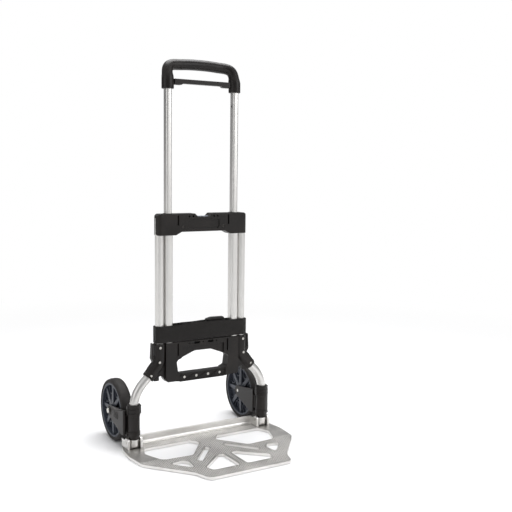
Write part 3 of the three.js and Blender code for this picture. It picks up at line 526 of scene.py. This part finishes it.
# %% Bent frame tubes
LOWER_BEND_RADIUS = 100 * MM
UPPER_BEND_RADIUS = 40 * MM
LOWER_BEND_START = 120 * MM
BEND_LEAD = 4 * MM
BEND_STEPS = 12
TUBE_WALL = 2 * MM
LEAN = math.radians(45)
BACKWARD = Vector((0, 1, 0))

plane_y = centre("right_frame_tube").y
foot_x = centre("right_tube_foot").x
tube_low, tube_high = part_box("right_frame_tube")
tube_radius = (tube_high.y - tube_low.y) / 2
column_x = tube_low.x + tube_radius


def frame_tube_points(side, top):
    """Points on a frame tube's centre line, from its foot up to a height."""
    lean_x = foot_x - LOWER_BEND_RADIUS * (1 - math.cos(LEAN))
    lean_z = LOWER_BEND_START + LOWER_BEND_RADIUS * math.sin(LEAN)
    upper_x = column_x + UPPER_BEND_RADIUS * (1 - math.cos(LEAN))
    upper_z = lean_z + (lean_x - upper_x)
    points = [(foot_x, tube_low.z), (foot_x, LOWER_BEND_START - BEND_LEAD)]
    for i in range(BEND_STEPS + 1):
        turn = LEAN * i / BEND_STEPS
        points.append((
            foot_x - LOWER_BEND_RADIUS * (1 - math.cos(turn)),
            LOWER_BEND_START + LOWER_BEND_RADIUS * math.sin(turn)))
    for i in range(BEND_STEPS + 1):
        turn = LEAN * (1 - i / BEND_STEPS)
        points.append((
            column_x + UPPER_BEND_RADIUS * (1 - math.cos(turn)),
            upper_z + UPPER_BEND_RADIUS * (math.sin(LEAN) - math.sin(turn))))
    points.append((column_x, top))
    return [Vector((side * x, plane_y, z)) for x, z in points]


def frame_tube(side_name, side):
    shape = bmesh.new()
    ring = bmesh.ops.create_circle(shape, segments=48, radius=tube_radius)["verts"]
    sweep(shape, ring, stations_along(frame_tube_points(side, tube_high.z), BACKWARD))
    bmesh.ops.recalc_face_normals(shape, faces=shape.faces)
    bmesh.ops.solidify(shape, geom=shape.faces[:], thickness=TUBE_WALL)
    name = f"{side_name}_frame_tube"
    return add_piece(f"{name}_shown", shape, "frame", tube_finish, [name])


for side_name, side in SIDES.items():
    piece = frame_tube(side_name, side)
    print(piece.name, len(piece.data.polygons), "faces")

# %% [markdown]
# ## Box-section tubes
# The guide tubes and the handle tubes are extruded box section. The CAD model already has their
# rounded corners, the latch holes and the slots, so a copy with softened ends is enough.

# %% Guide and handle tubes
for side_name in SIDES:
    rounded_copy(f"{side_name}_guide_tube", "frame", tube_finish, 0.3 * MM)
    rounded_copy(f"{side_name}_handle_tube", "handle", tube_finish, 0.3 * MM)
    rounded_copy(f"{side_name}_guide_bush", "frame", bracket_finish, 0.4 * MM)
    rounded_copy(f"{side_name}_handle_plug", "handle", bracket_finish, 0.6 * MM)
print("four box-section tubes, with their bushes and plugs")

# %% [markdown]
# ## Grip
# The grip is moulded in one piece: a sleeve at each end that thins into a round bar, which
# leans back a little and arches softly. A ring is carried along the arch and narrowed above each
# sleeve. The mouth of each sleeve is then turned inwards round its tube.

# %% Grip
GRIP_RADIUS = 15 * MM
SLEEVE_RADIUS = 17 * MM
SLEEVE_HEIGHT = 30 * MM
SHOULDER_HEIGHT = 44 * MM
GRIP_ARCH = 5 * MM
SLEEVE_STEPS = [height * MM for height in (0, 0.4, 1.2, 2.4, 14, 26)]
LIP_SIZES = (0.93, 0.965, 0.99, 1.0)
MOUTH_WALL = 4.5 * MM
MOUTH_LIP = 0.4 * MM
MOUTH_DEPTH = 0.6 * MM

# Where the bend's curve begins and ends, and what pulls on it, away from the sleeve and the bar.
KNEE = Vector((-1, 1, 28)) * MM
PULL_UP = Vector((3, 8, 2)) * MM
PULL_IN = Vector((-14, -2, 1)) * MM
SHOULDER = Vector((0, -1.5, 2.6)) * MM
SHOULDER_SHARE = 0.55
ARCH_PULL = 0.35
ARCH_LIFT = Vector((0, 0, 1)) * MM
CROWN_PULL = 0.2

grip_low, grip_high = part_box("handle_grip")
handle_x = centre("right_handle_tube").x
grip_back = grip_high.y - GRIP_RADIUS
grip_top = grip_high.z - GRIP_RADIUS


def eased(share):
    """A share from 0 to 1, with a soft start and a soft end."""
    return share * share * (3 - 2 * share)


def grip_path():
    """Centre line of the grip and its radius there, from the right sleeve to the left one."""
    bend_top = grip_top - GRIP_ARCH
    knee = Vector((handle_x, plane_y, grip_low.z)) + KNEE
    shoulder = Vector((handle_x * SHOULDER_SHARE, grip_back, bend_top)) + SHOULDER
    above_knee = Vector((handle_x, plane_y, bend_top)) + PULL_UP
    before_shoulder = Vector((handle_x, grip_back, bend_top)) + PULL_IN
    bend = interpolate_bezier(knee, above_knee, before_shoulder, shoulder, 18)
    crown = Vector((0, grip_back, grip_top))
    after_shoulder = shoulder.lerp(crown, ARCH_PULL) + ARCH_LIFT
    before_crown = crown + Vector((handle_x * CROWN_PULL, 0, 0))
    arch = interpolate_bezier(shoulder, after_shoulder, before_crown, crown, 10)
    sleeve = [Vector((handle_x, plane_y, grip_low.z + height)) for height in SLEEVE_STEPS]
    half = sleeve + bend[1:] + arch[1:]
    half_sizes = []
    for i, point in enumerate(half):
        height = point.z - grip_low.z
        share = (height - SLEEVE_HEIGHT) / (SHOULDER_HEIGHT - SLEEVE_HEIGHT)
        thinning = eased(min(max(share, 0), 1))
        size = SLEEVE_RADIUS + (GRIP_RADIUS - SLEEVE_RADIUS) * thinning
        half_sizes.append(size * (LIP_SIZES[i] if i < len(LIP_SIZES) else 1.0))
    other = [Vector((-p.x, p.y, p.z)) for p in reversed(half[:-1])]
    return half + other, half_sizes + half_sizes[-2::-1]


def grip():
    shape = bmesh.new()
    ring = bmesh.ops.create_circle(shape, segments=40, radius=1)["verts"]
    points, sizes = grip_path()
    sweep(shape, ring, stations_along(points, BACKWARD, sizes))
    cap(shape)
    mouths = [f for f in shape.faces if len(f.verts) > 4]
    for mouth in mouths:
        bmesh.ops.inset_individual(shape, faces=[mouth], thickness=MOUTH_WALL)
        bmesh.ops.inset_individual(shape, faces=[mouth], thickness=MOUTH_LIP, depth=-MOUTH_DEPTH)
    return add_piece("handle_grip_shown", shape, "handle", grip_finish, ["handle_grip"])


piece = grip()
print(piece.name, len(piece.data.polygons), "faces")

# %% [markdown]
# The release bar runs between the two sleeves, and is squeezed up towards the grip. Inside the
# tubes its two rods reach down to the latch plungers, so they are shown only through the holes.

# %% Release bar, rods and latches
rounded_copy("release_bar", "release", grip_finish, 1.4 * MM, 3)
for side_name in SIDES:
    rounded_copy(f"{side_name}_release_rod", "release", steel_finish, 0.3 * MM)
    rounded_copy(f"{side_name}_latch_plunger", f"{side_name}_latch", steel_finish, 0.4 * MM)
print("release bar, two rods, two plungers")

# %% [markdown]
# ## Brackets
# Each bracket is two moulded halves screwed together round the tubes. The halves are rounded
# copies. The lower bracket also has a rim round each frame tube where the tube leaves it, and
# crossed ribs that stiffen the bar under its hand window.

# %% Bracket halves
# Where the lower bracket's round sleeves meet its flat faces, some edges are shorter than a
# bevel needs, so those stay sharp. So do the edges that lie against a tube.
SHORT_EDGE = 2.2 * MM
TUBE_MARGIN = 1.5 * MM


def against_tube(point):
    """True at a point on a guide tube or a frame tube, or within the margin of one."""
    low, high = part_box("right_guide_tube")
    across = Vector((abs(point.x), point.y))
    if low.x < across.x + TUBE_MARGIN and across.x - TUBE_MARGIN < high.x:
        if low.y < across.y + TUBE_MARGIN and across.y - TUBE_MARGIN < high.y:
            return True
    path = frame_tube_points(1, high.z)
    mirrored = Vector((abs(point.x), point.y, point.z))
    nearest = [intersect_point_line(mirrored, a, b)[0] for a, b in zip(path, path[1:])]
    return min((mirrored - spot).length for spot in nearest) < tube_radius + TUBE_MARGIN


def is_outer(edge):
    middle = (edge.verts[0].co + edge.verts[1].co) / 2
    return edge.calc_length() > SHORT_EDGE and not against_tube(middle)


for half in ("front", "rear"):
    rounded_copy(f"mid_bracket_{half}", "frame", bracket_finish, 1.1 * MM)
    rounded_copy(f"lower_bracket_{half}", "frame", bracket_finish, 0.5 * MM, 2, is_outer)
rounded_copy("strap_bar", "frame", bar_finish, 0.8 * MM)
print("two brackets and the strap bar")

# %% Rims where the frame tubes leave the bracket
RIM_RADIUS = 17.6 * MM
RIM_WALL = 4.3 * MM
RIM_START = 21 * MM
RIM_LENGTH = 6 * MM
RIM_PROFILE = ((0, 0.97), (0.15, 1), (0.85, 1), (1, 0.95))

bracket_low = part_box("lower_bracket_front")[0]


def socket_rim(side_name, side):
    """A short thick ring round a frame tube, with its two edges drawn in a little."""
    shape = bmesh.new()
    ring = bmesh.ops.create_circle(shape, segments=48, radius=RIM_RADIUS)["verts"]
    path = frame_tube_points(side, tube_high.z)
    start_z = bracket_low.z + RIM_START
    below, above = next((a, b) for a, b in zip(path, path[1:]) if a.z <= start_z < b.z)
    start = below.lerp(above, (start_z - below.z) / (above.z - below.z))
    along = (above - below).normalized() * RIM_LENGTH
    points = [start + along * share for share, size in RIM_PROFILE]
    sizes = [size for share, size in RIM_PROFILE]
    sweep(shape, ring, stations_along(points, BACKWARD, sizes))
    bmesh.ops.recalc_face_normals(shape, faces=shape.faces)
    bmesh.ops.solidify(shape, geom=shape.faces[:], thickness=RIM_WALL)
    return add_piece(f"{side_name}_socket_rim", shape, "frame", bracket_finish)


for side_name, side in SIDES.items():
    piece = socket_rim(side_name, side)
    print(piece.name, len(piece.data.polygons), "faces")

# %% Crossed ribs on the bar
RIB_WIDTH = 2.4 * MM
RIB_RISE = 2.6 * MM
RIB_LENGTH = 33 * MM
RIB_SLOPE = math.radians(32)
RIB_BEVEL = 0.4 * MM
END_SHARE = 0.8
SCREW_PROUD = 0.8 * MM
BORDER_LENGTH = 146 * MM
BORDER_HEIGHT = 10.4 * MM


def straight_rib(shape, length, middle, slope=0.0):
    """A rib that stands out of the bar's face."""
    rib = bmesh.ops.create_cube(shape, size=1)["verts"]
    size = Matrix.Diagonal((length, 2 * RIB_RISE, RIB_WIDTH, 1))
    turn = Matrix.Rotation(slope, 4, "Y")
    bmesh.ops.transform(shape, matrix=Matrix.Translation(middle) @ turn @ size, verts=rib)


def ribbed_bar():
    """A cross of two ribs between each two screws, and a straight rib above and below them."""
    shape = bmesh.new()
    screws = [centre(f"bar_screw_{i}") for i in range(1, 5)]
    gap = screws[1].x - screws[0].x
    face_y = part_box("bar_screw_1")[0].y - SCREW_PROUD
    middle_z = screws[0].z
    middles = [screws[0].x - gap / 2] + [s.x + gap / 2 for s in screws]
    for x in middles:
        length = RIB_LENGTH * (END_SHARE if x in (middles[0], middles[-1]) else 1)
        for slope in (RIB_SLOPE, -RIB_SLOPE):
            straight_rib(shape, length, (x, face_y, middle_z), slope)
    for height in (-BORDER_HEIGHT, BORDER_HEIGHT):
        straight_rib(shape, BORDER_LENGTH, (0, face_y, middle_z + height))
    round_edges(shape, RIB_BEVEL, 1)
    return add_piece("lower_bracket_ribs", shape, "frame", bracket_finish)


piece = ribbed_bar()
print(piece.name, len(piece.data.polygons), "faces")

# %% Screws
SCREWS = [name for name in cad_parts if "screw" in name]
for name in SCREWS:
    screw_finish = black_screw_finish if name.startswith("mid") else steel_finish
    rounded_copy(name, "frame", screw_finish, 0.35 * MM)
print(len(SCREWS), "screws")

# %% [markdown]
# ## Collars, feet and forks
# The collars hold the swinging forks on the frame tubes, and the cast feet below them turn
# between the toe plate's ears. A wheel fork is a plastic moulding with an arm on each side of
# its wheel; its outer arm is stiffened by short ribs.

# %% Collars, feet, pins and forks
for side_name in SIDES:
    rounded_copy(f"{side_name}_lower_collar", "frame", bracket_finish, 0.6 * MM)
    rounded_copy(f"{side_name}_upper_collar", "frame", bracket_finish, 0.6 * MM)
    rounded_copy(f"{side_name}_tube_foot", "frame", cast_finish, 0.6 * MM)
    rounded_copy(f"{side_name}_toe_pin", "toe", steel_finish, 0.5 * MM)
    rounded_copy(f"{side_name}_wheel_fork", f"{side_name}_fork", bracket_finish, 0.9 * MM)
    rounded_copy(f"{side_name}_axle", f"{side_name}_fork", steel_finish, 0.6 * MM)
    rounded_copy(f"{side_name}_wheel_bush", f"{side_name}_wheel", bar_finish, 0.5 * MM)
print("collars, feet, pins, forks, axles and bushes")

# %% [markdown]
# ## Wheels
# A tyre is its section spun about the axle. The section is a short chain of points: a bead on
# the rim, a bulged wall with a raised line, a shoulder groove and a crowned tread.

# %% Tyres
SPIN_STEPS = 96
TYRE_SECTION = (
    (0.0, -1.0), (2.2, -0.1), (3.4, 0.0), (3.9, 0.5), (4.6, 0.5), (5.1, 0.0), (7.4, -0.6),
    (9.2, -2.6), (9.8, -4.2), (9.3, -4.9), (10.2, -5.7), (11.1, -9.0), (11.5, -13.0),
)


def spun(shape, half, middle, steps=SPIN_STEPS):
    """Spins a section about an axle. Half of it is given, as (radius, distance) points."""
    outline = half + [(r, -x) for r, x in reversed(half)]
    corners = [shape.verts.new(middle + Vector((x, 0, r))) for r, x in outline]
    edges = [shape.edges.new((corners[i - 1], corners[i])) for i in range(len(corners))]
    bmesh.ops.spin(
        shape, geom=corners + edges, cent=middle, axis=(1, 0, 0), dvec=(0, 0, 0),
        angle=2 * math.pi, steps=steps, use_merge=True, use_duplicate=False)


def tyre(side_name):
    node = f"{side_name}_tyre"
    low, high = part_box(node)
    half_width = (high.x - low.x) / 2
    rim_radius = (high.z - low.z) / 2 - TYRE_SECTION[-1][0] * MM
    half = [(rim_radius + rise * MM, half_width + side * MM) for rise, side in TYRE_SECTION]
    shape = bmesh.new()
    spun(shape, half, centre(node))
    return add_piece(f"{node}_shown", shape, f"{side_name}_wheel", tyre_finish, [node])


for side_name in SIDES:
    piece = tyre(side_name)
    print(piece.name, len(piece.data.polygons), "faces")

# %% [markdown]
# A hub is moulded: a rim under the tyre, a thin web with round holes, eight broad spokes that
# taper outwards, a U-shaped rib between each two of them, and a boss round the bush. One spoke
# and one rib are made, and turned copies of them go round the axle.

# %% Hubs
SPOKES = 8
HUB_RIM = 6 * MM
HUB_HALF_WIDTH = 15 * MM
WEB_HALF = 3 * MM
BOSS_RADIUS = 16 * MM
HOLE_RADIUS = 5.5 * MM
HOLE_CIRCLE = 54 * MM
BUSH_PLAY = 0.3 * MM
HUB_LIP = 1.2 * MM
BOSS_STEPS = 48
OVERLAP = 1 * MM

# Half a spoke's depth along the axle, and half its width, at each of its ends.
SPOKE_AT_RIM = (11 * MM, 5 * MM)
SPOKE_AT_BOSS = (13.5 * MM, 8.5 * MM)
SPOKE_ROOT = 4 * MM
SPOKE_BEVEL = 1.6 * MM

# A U-shaped rib's section, half the distance between its arms, and its bend's distance inwards.
U_SECTION = (16 * MM, 2.4 * MM)
U_ARM = 11.5 * MM
U_BEND = 15 * MM
U_STEPS = 10


def around_axle(shape, geometry, middle):
    """More copies of a spoke or a rib, evenly round the axle."""
    step = 2 * math.pi / SPOKES
    bmesh.ops.spin(
        shape, geom=geometry, cent=middle, axis=(1, 0, 0), dvec=(0, 0, 0),
        angle=step * (SPOKES - 1), steps=SPOKES - 1, use_duplicate=True)


def part_of(shape, verts):
    """The vertices given, with the edges and faces between them."""
    edges = once(e for v in verts for e in v.link_edges)
    faces = once(f for v in verts for f in v.link_faces)
    return [*verts, *edges, *faces]


def hub_web(shape, middle, radius):
    """A disc across the axle with a hole between each two spokes."""
    facing = Matrix.Translation(middle) @ Matrix.Rotation(math.pi / 2, 4, "Y")
    bmesh.ops.create_circle(shape, segments=SPIN_STEPS, radius=radius, matrix=facing)
    for i in range(SPOKES):
        angle = (i + 0.5) * 2 * math.pi / SPOKES
        turned = Matrix.Translation(middle) @ Matrix.Rotation(angle, 4, "X")
        outwards = turned @ Matrix.Translation((0, 0, HOLE_CIRCLE))
        hole = outwards @ Matrix.Rotation(math.pi / 2, 4, "Y")
        bmesh.ops.create_circle(shape, segments=20, radius=HOLE_RADIUS, matrix=hole)
    bmesh.ops.triangle_fill(shape, edges=shape.edges[:], use_beauty=True, use_dissolve=False)
    bmesh.ops.translate(shape, vec=(-WEB_HALF, 0, 0), verts=shape.verts)
    grown = bmesh.ops.extrude_face_region(shape, geom=shape.faces[:])["geom"]
    moved = [g for g in grown if isinstance(g, bmesh.types.BMVert)]
    bmesh.ops.translate(shape, vec=(2 * WEB_HALF, 0, 0), verts=moved)


def hub_spoke(shape, middle, inner, outer):
    """A bevelled bar from the boss to the rim, broad at the boss and narrow at the rim."""
    verts = bmesh.ops.create_cube(shape, size=1)["verts"]
    for v in verts:
        far = v.co.z > 0
        half_depth, half_width = SPOKE_AT_RIM if far else SPOKE_AT_BOSS
        v.co = (2 * v.co.x * half_depth, 2 * v.co.y * half_width, outer if far else inner)
    bmesh.ops.translate(shape, vec=middle, verts=verts)
    edges = once(e for v in verts for e in v.link_edges)
    made = bmesh.ops.bevel(
        shape, geom=edges, offset=SPOKE_BEVEL, offset_type="OFFSET", affect="EDGES",
        segments=3, profile=0.5, material=-1)
    return once(v for f in made["faces"] for v in f.verts)


def hub_rib(shape, middle, rim):
    """A U-shaped rib between two spokes, its arms running out to the rim."""
    points = [Vector((0, -U_ARM, rim + OVERLAP))]
    for i in range(U_STEPS + 1):
        turn = math.pi * i / U_STEPS
        points.append(Vector((0, -U_ARM * math.cos(turn), rim - U_BEND - U_ARM * math.sin(turn))))
    points.append(Vector((0, U_ARM, rim + OVERLAP)))
    turned = Matrix.Translation(middle) @ Matrix.Rotation(math.pi / SPOKES, 4, "X")
    square = bmesh.ops.create_grid(
        shape, x_segments=1, y_segments=1, size=0.5, matrix=Matrix.Diagonal((*U_SECTION, 1, 1)))
    square = square["verts"]
    faces = once(f for v in square for f in v.link_faces)
    bmesh.ops.delete(shape, geom=faces, context="FACES_ONLY")
    stations = []
    axle = Vector((1, 0, 0))
    for here, ahead, behind in zip(points, points[1:] + points[-1:], points[:1] + points):
        direction = (ahead - behind).normalized()
        turn = Matrix((axle, direction.cross(axle), direction)).transposed().to_4x4()
        stations.append(Matrix.Translation(here) @ turn)
    rings = sweep(shape, square, stations)
    verts = [v for ring in rings for v in ring]
    bmesh.ops.transform(shape, matrix=turned, verts=verts)
    ends = [e for v in rings[0] + rings[-1] for e in v.link_edges if e.is_boundary]
    bmesh.ops.holes_fill(shape, edges=once(ends), sides=0)
    return verts


def wheel_hub(side_name):
    node = f"{side_name}_wheel_hub"
    middle = centre(node)
    low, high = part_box(node)
    outer = (high.z - low.z) / 2
    inner = outer - HUB_RIM
    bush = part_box(f"{side_name}_wheel_bush")
    bore = (bush[1].z - bush[0].z) / 2 + BUSH_PLAY
    shape = bmesh.new()
    hub_web(shape, middle, inner + OVERLAP)
    spoke = hub_spoke(shape, middle, bore + SPOKE_ROOT, inner + OVERLAP)
    around_axle(shape, part_of(shape, spoke), middle)
    around_axle(shape, part_of(shape, hub_rib(shape, middle, inner)), middle)
    lip_at = HUB_HALF_WIDTH + HUB_LIP
    spun(shape, [
        (outer, HUB_HALF_WIDTH), (outer - HUB_LIP, lip_at),
        (inner + HUB_LIP, lip_at), (inner, HUB_HALF_WIDTH)], middle)
    reach = (high.x - low.x) / 2
    spun(shape, [
        (bore, reach), (BOSS_RADIUS - HUB_LIP, reach), (BOSS_RADIUS, reach - HUB_LIP)],
        middle, BOSS_STEPS)
    return add_piece(f"{node}_shown", shape, f"{side_name}_wheel", hub_finish, [node])


for side_name in SIDES:
    piece = wheel_hub(side_name)
    print(piece.name, len(piece.data.polygons), "faces")

# %% [markdown]
# ## Toe plate
# The toe plate is one casting: a flat plate with a rim, windows between its ribs, a rear
# flange, and four ears for the pins. Its edges are rounded like a casting's. Its top is covered
# in small raised studs that stop a load from sliding. Each stud is a low pyramid without its
# tip, and one is set wherever the plate below it is solid, which is found by dropping lines
# onto the plate. The rows of studs lean to the left and to the right by turns.

# %% Toe plate
STUD_PITCH = 8.0 * MM
STUD_LENGTH = 2.9 * MM
STUD_WIDTH = 1.7 * MM
STUD_RISE = 1.2 * MM
STUD_ROOT = 0.6 * STUD_RISE
STUD_TIP = 0.45
STUD_MARGIN = 4.2 * MM
DROP_HEIGHT = 40 * MM
LEVEL = 0.05 * MM

rounded_copy("toe_plate", "toe", tread_finish, 0.9 * MM, 3)


def on_plate(tree, x, y):
    """True if the plate's flat top lies under a point and all round it."""
    for dx, dy in ((0, 0), (1, 0), (-1, 0), (0, 1), (0, -1)):
        above = Vector((x + dx * STUD_MARGIN, y + dy * STUD_MARGIN, PLATE_TOP + DROP_HEIGHT))
        hit = tree.ray_cast(above, Vector((0, 0, -1)))[0]
        if hit is None or abs(hit.z - PLATE_TOP) > LEVEL:
            return False
    return True


def under_collar(x, y):
    """True where the folded plate comes to rest against the collars, which studs would touch."""
    pin = centre("right_toe_pin")
    low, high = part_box("right_upper_collar")
    reach = high.z - pin.z + STUD_PITCH
    return abs(x) > low.x - STUD_PITCH / 2 and y > pin.y - reach


def studs():
    """All the studs as one piece, and how many there are."""
    shape = bmesh.new()
    solid = cad_copy("toe_plate")
    tree = BVHTree.FromBMesh(solid)
    low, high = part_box("toe_plate")
    rows = int((high.y - low.y) / (STUD_PITCH / 2))
    columns = int((high.x - low.x) / STUD_PITCH)
    count = 0
    for row in range(rows):
        for column in range(-columns // 2, columns // 2 + 1):
            x = (column + 0.5 * (row % 2)) * STUD_PITCH
            y = low.y + (row + 0.5) * STUD_PITCH / 2
            if under_collar(x, y) or not on_plate(tree, x, y):
                continue
            place = Matrix.Translation((x, y, PLATE_TOP + (STUD_RISE - STUD_ROOT) / 2))
            turn = Matrix.Rotation(math.radians(45 if row % 2 else -45), 4, "Z")
            size = Matrix.Diagonal((STUD_LENGTH, STUD_WIDTH, 1, 1))
            bmesh.ops.create_cone(
                shape, cap_ends=True, segments=6, radius1=1, radius2=STUD_TIP,
                depth=STUD_RISE + STUD_ROOT, matrix=place @ turn @ size)
            count += 1
    solid.free()
    return add_piece("toe_plate_studs", shape, "toe", cast_finish), count


piece, count = studs()
print(count, "studs on the toe plate")

# %% [markdown]
# ## Elastic strap
# The strap is stowed by winding it twice round the four tubes. It is woven flat, so its section
# is a thin rectangle with soft edges, carried along a rounded rectangle that grows a little
# with each turn. Two attributes keep how far along and across the webbing each point is.

# %% Wound strap
WEB_THICKNESS = 1.5 * MM
WRAPS = 2.06
WRAP_GROWTH = 0.62
STRAP_STEPS = 132
STRAP_CORNER = 9 * MM
STRAP_PLAY = 0.2 * MM
EDGE_ROOM = 2 * MM
EDGE_WAVE = 0.8 * MM
SLOW_WAVE = 0.9 * MM


def web_section(shape, width, thickness, folds=8):
    """A closed ring for webbing standing on edge: thin along x and wide along y."""
    half_width, half_thickness = width / 2, thickness / 2
    side = [
        (half_thickness, (i / folds - 0.5) * (width - thickness)) for i in range(folds + 1)]
    tip = [(half_thickness * 0.6, half_width - thickness * 0.12), (0, half_width)]
    half = side + tip + [(-x, y) for x, y in tip[:1]]
    other = [(-x, -y) for x, y in half]
    corners = [shape.verts.new((x, y, 0)) for x, y in half + other]
    for i, corner in enumerate(corners):
        shape.edges.new((corners[i - 1], corner))
    return corners


def webbing(name, points, width, body, replaced, lean=lambda i: 0.0):
    """A band of webbing on edge along a level path, with its along and across attributes."""
    shape = bmesh.new()
    run_layer = shape.verts.layers.float.new("along")
    width_layer = shape.verts.layers.float.new("across")
    ring = web_section(shape, width, WEB_THICKNESS)
    for v in ring:
        v[width_layer] = v.co.y
    up = Vector((0, 0, 1))
    stations = []
    for i, point in enumerate(points):
        ahead = points[min(i + 1, len(points) - 1)] - points[max(i - 1, 0)]
        forward = Vector((ahead.x, ahead.y, 0)).normalized()
        upright = Matrix.Rotation(lean(i), 3, forward) @ up
        turn = Matrix((upright.cross(forward), upright, forward)).transposed().to_4x4()
        stations.append(Matrix.Translation(point) @ turn)
    rings = sweep(shape, ring, stations)
    length = 0.0
    for i, ring in enumerate(rings):
        if i:
            length += (points[i] - points[i - 1]).length
        for v in ring:
            v[run_layer] = length
    cap(shape)
    piece = add_piece(name, shape, body, webbing_finish, replaced)
    return piece, length


def rounded_loop(half_x, half_y, corner, share):
    """The point at a share, from 0 to 1, of the way round a rounded rectangle."""
    flat_x, flat_y = half_x - corner, half_y - corner
    quarter = math.pi / 2 * corner
    runs = (flat_x, quarter, 2 * flat_y, quarter, 2 * flat_x, quarter, 2 * flat_y, quarter, flat_x)
    left = (share % 1.0) * sum(runs)
    x, y, heading = 0.0, -half_y, 0.0
    for i, run in enumerate(runs):
        done = min(left, run)
        left -= done
        if i % 2:
            turned = done / corner
            x += corner * (math.sin(heading + turned) - math.sin(heading))
            y += corner * (math.cos(heading) - math.cos(heading + turned))
            heading += turned
        else:
            x += done * math.cos(heading)
            y += done * math.sin(heading)
        if left <= 0:
            break
    return x, y


def wound_strap():
    low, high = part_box("strap")
    middle = centre("strap")
    half_x = (high.x - low.x) / 2 - 2 * WEB_THICKNESS - STRAP_PLAY
    half_y = (high.y - low.y) / 2 - 2 * WEB_THICKNESS - STRAP_PLAY
    points = []
    for i in range(STRAP_STEPS + 1):
        share = i / STRAP_STEPS
        out = WEB_THICKNESS * (0.5 + WRAPS * share * WRAP_GROWTH)
        x, y = rounded_loop(half_x + out, half_y + out, STRAP_CORNER + out, 0.5 + WRAPS * share)
        wave = EDGE_WAVE * math.sin(17 * share + 1.1) + SLOW_WAVE * math.sin(2.4 * share)
        points.append(Vector((x, middle.y + y, middle.z + wave)))
    width = high.z - low.z - EDGE_ROOM
    piece, length = webbing("strap_shown", points, width, "frame", ["strap"])
    return piece, length


piece, length = wound_strap()
print(piece.name, round(length, 3), "m of webbing,", len(piece.data.polygons), "faces")

# %% [markdown]
# The spare end of the strap is folded to and fro, and tucked between the two runs. Seen from
# above it is a serpentine of webbing, which rises towards the end with the hook.

# %% Folded spare webbing
LAYERS = 5
FOLD_STEPS = 7
RUN_STEPS = 16
FOLD_BULGE = 1.6
FOLD_ROOM = 4 * MM
NEAR_STAGGER = 5 * MM
FAR_STAGGER = 4 * MM
SPARE_PLAY = 1 * MM
SPARE_WIDTH_SHARE = 0.86
SPARE_SINK = 2.6 * MM
SPARE_LIFT = 2.0 * MM
RUN_WAVE = 0.5 * MM

# How far webbing waves, and how fast from one point to the next.
LONG_RIPPLE = (1.3 * MM, 0.21)
SHORT_RIPPLE = (0.7 * MM, 0.57)
LEAN_RIPPLE = (0.05, 0.13)


def ripple(wave, i):
    size, speed = wave
    return size * math.sin(i * speed)


def spare_webbing():
    low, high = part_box("strap_bundle")
    middle = centre("strap_bundle")
    pitch = (high.y - low.y - WEB_THICKNESS - SPARE_PLAY) / (LAYERS - 1)
    fold = pitch / 2
    width = SPARE_WIDTH_SHARE * (high.z - low.z)
    points = []
    for layer in range(LAYERS):
        y = middle.y + (layer - (LAYERS - 1) / 2) * pitch
        near = low.x + FOLD_ROOM + NEAR_STAGGER * (layer % 3)
        far = high.x - FOLD_ROOM - FAR_STAGGER * (layer % 2)
        run = [near + (far - near) * i / RUN_STEPS for i in range(RUN_STEPS + 1)]
        if layer % 2:
            run.reverse()
        for x in run:
            points.append(Vector((x, y + RUN_WAVE * math.sin(60 * x + layer * 2), 0)))
        if layer < LAYERS - 1:
            outwards = 1 if layer % 2 == 0 else -1
            for i in range(1, FOLD_STEPS):
                turn = math.pi * i / FOLD_STEPS
                points.append(Vector((
                    run[-1] + outwards * FOLD_BULGE * fold * math.sin(turn),
                    y + fold * (1 - math.cos(turn)), 0)))
    for i, point in enumerate(points):
        lift = SPARE_LIFT * eased((point.x - low.x) / (high.x - low.x)) - SPARE_SINK
        point.z = middle.z + lift + ripple(LONG_RIPPLE, i) + ripple(SHORT_RIPPLE, i)
    piece, length = webbing(
        "strap_bundle_shown", points, width, "frame", ["strap_bundle"],
        lambda i: ripple(LEAN_RIPPLE, i))
    return piece, length


piece, length = spare_webbing()
print(piece.name, round(length, 3), "m of webbing,", len(piece.data.polygons), "faces")

# %% [markdown]
# The hook on the strap's end is a small moulding that is pressed down into the folded webbing.

# %% Hook
HOOK_SINK = 3.5 * MM
HOOK_BEVEL = 1.6 * MM

hook = cad_copy("strap_hook")
round_edges(hook, HOOK_BEVEL, 3)
bmesh.ops.translate(hook, vec=(0, 0, -HOOK_SINK), verts=hook.verts)
piece = add_piece("strap_hook_shown", hook, "frame", grip_finish, ["strap_hook"])
print(piece.name)
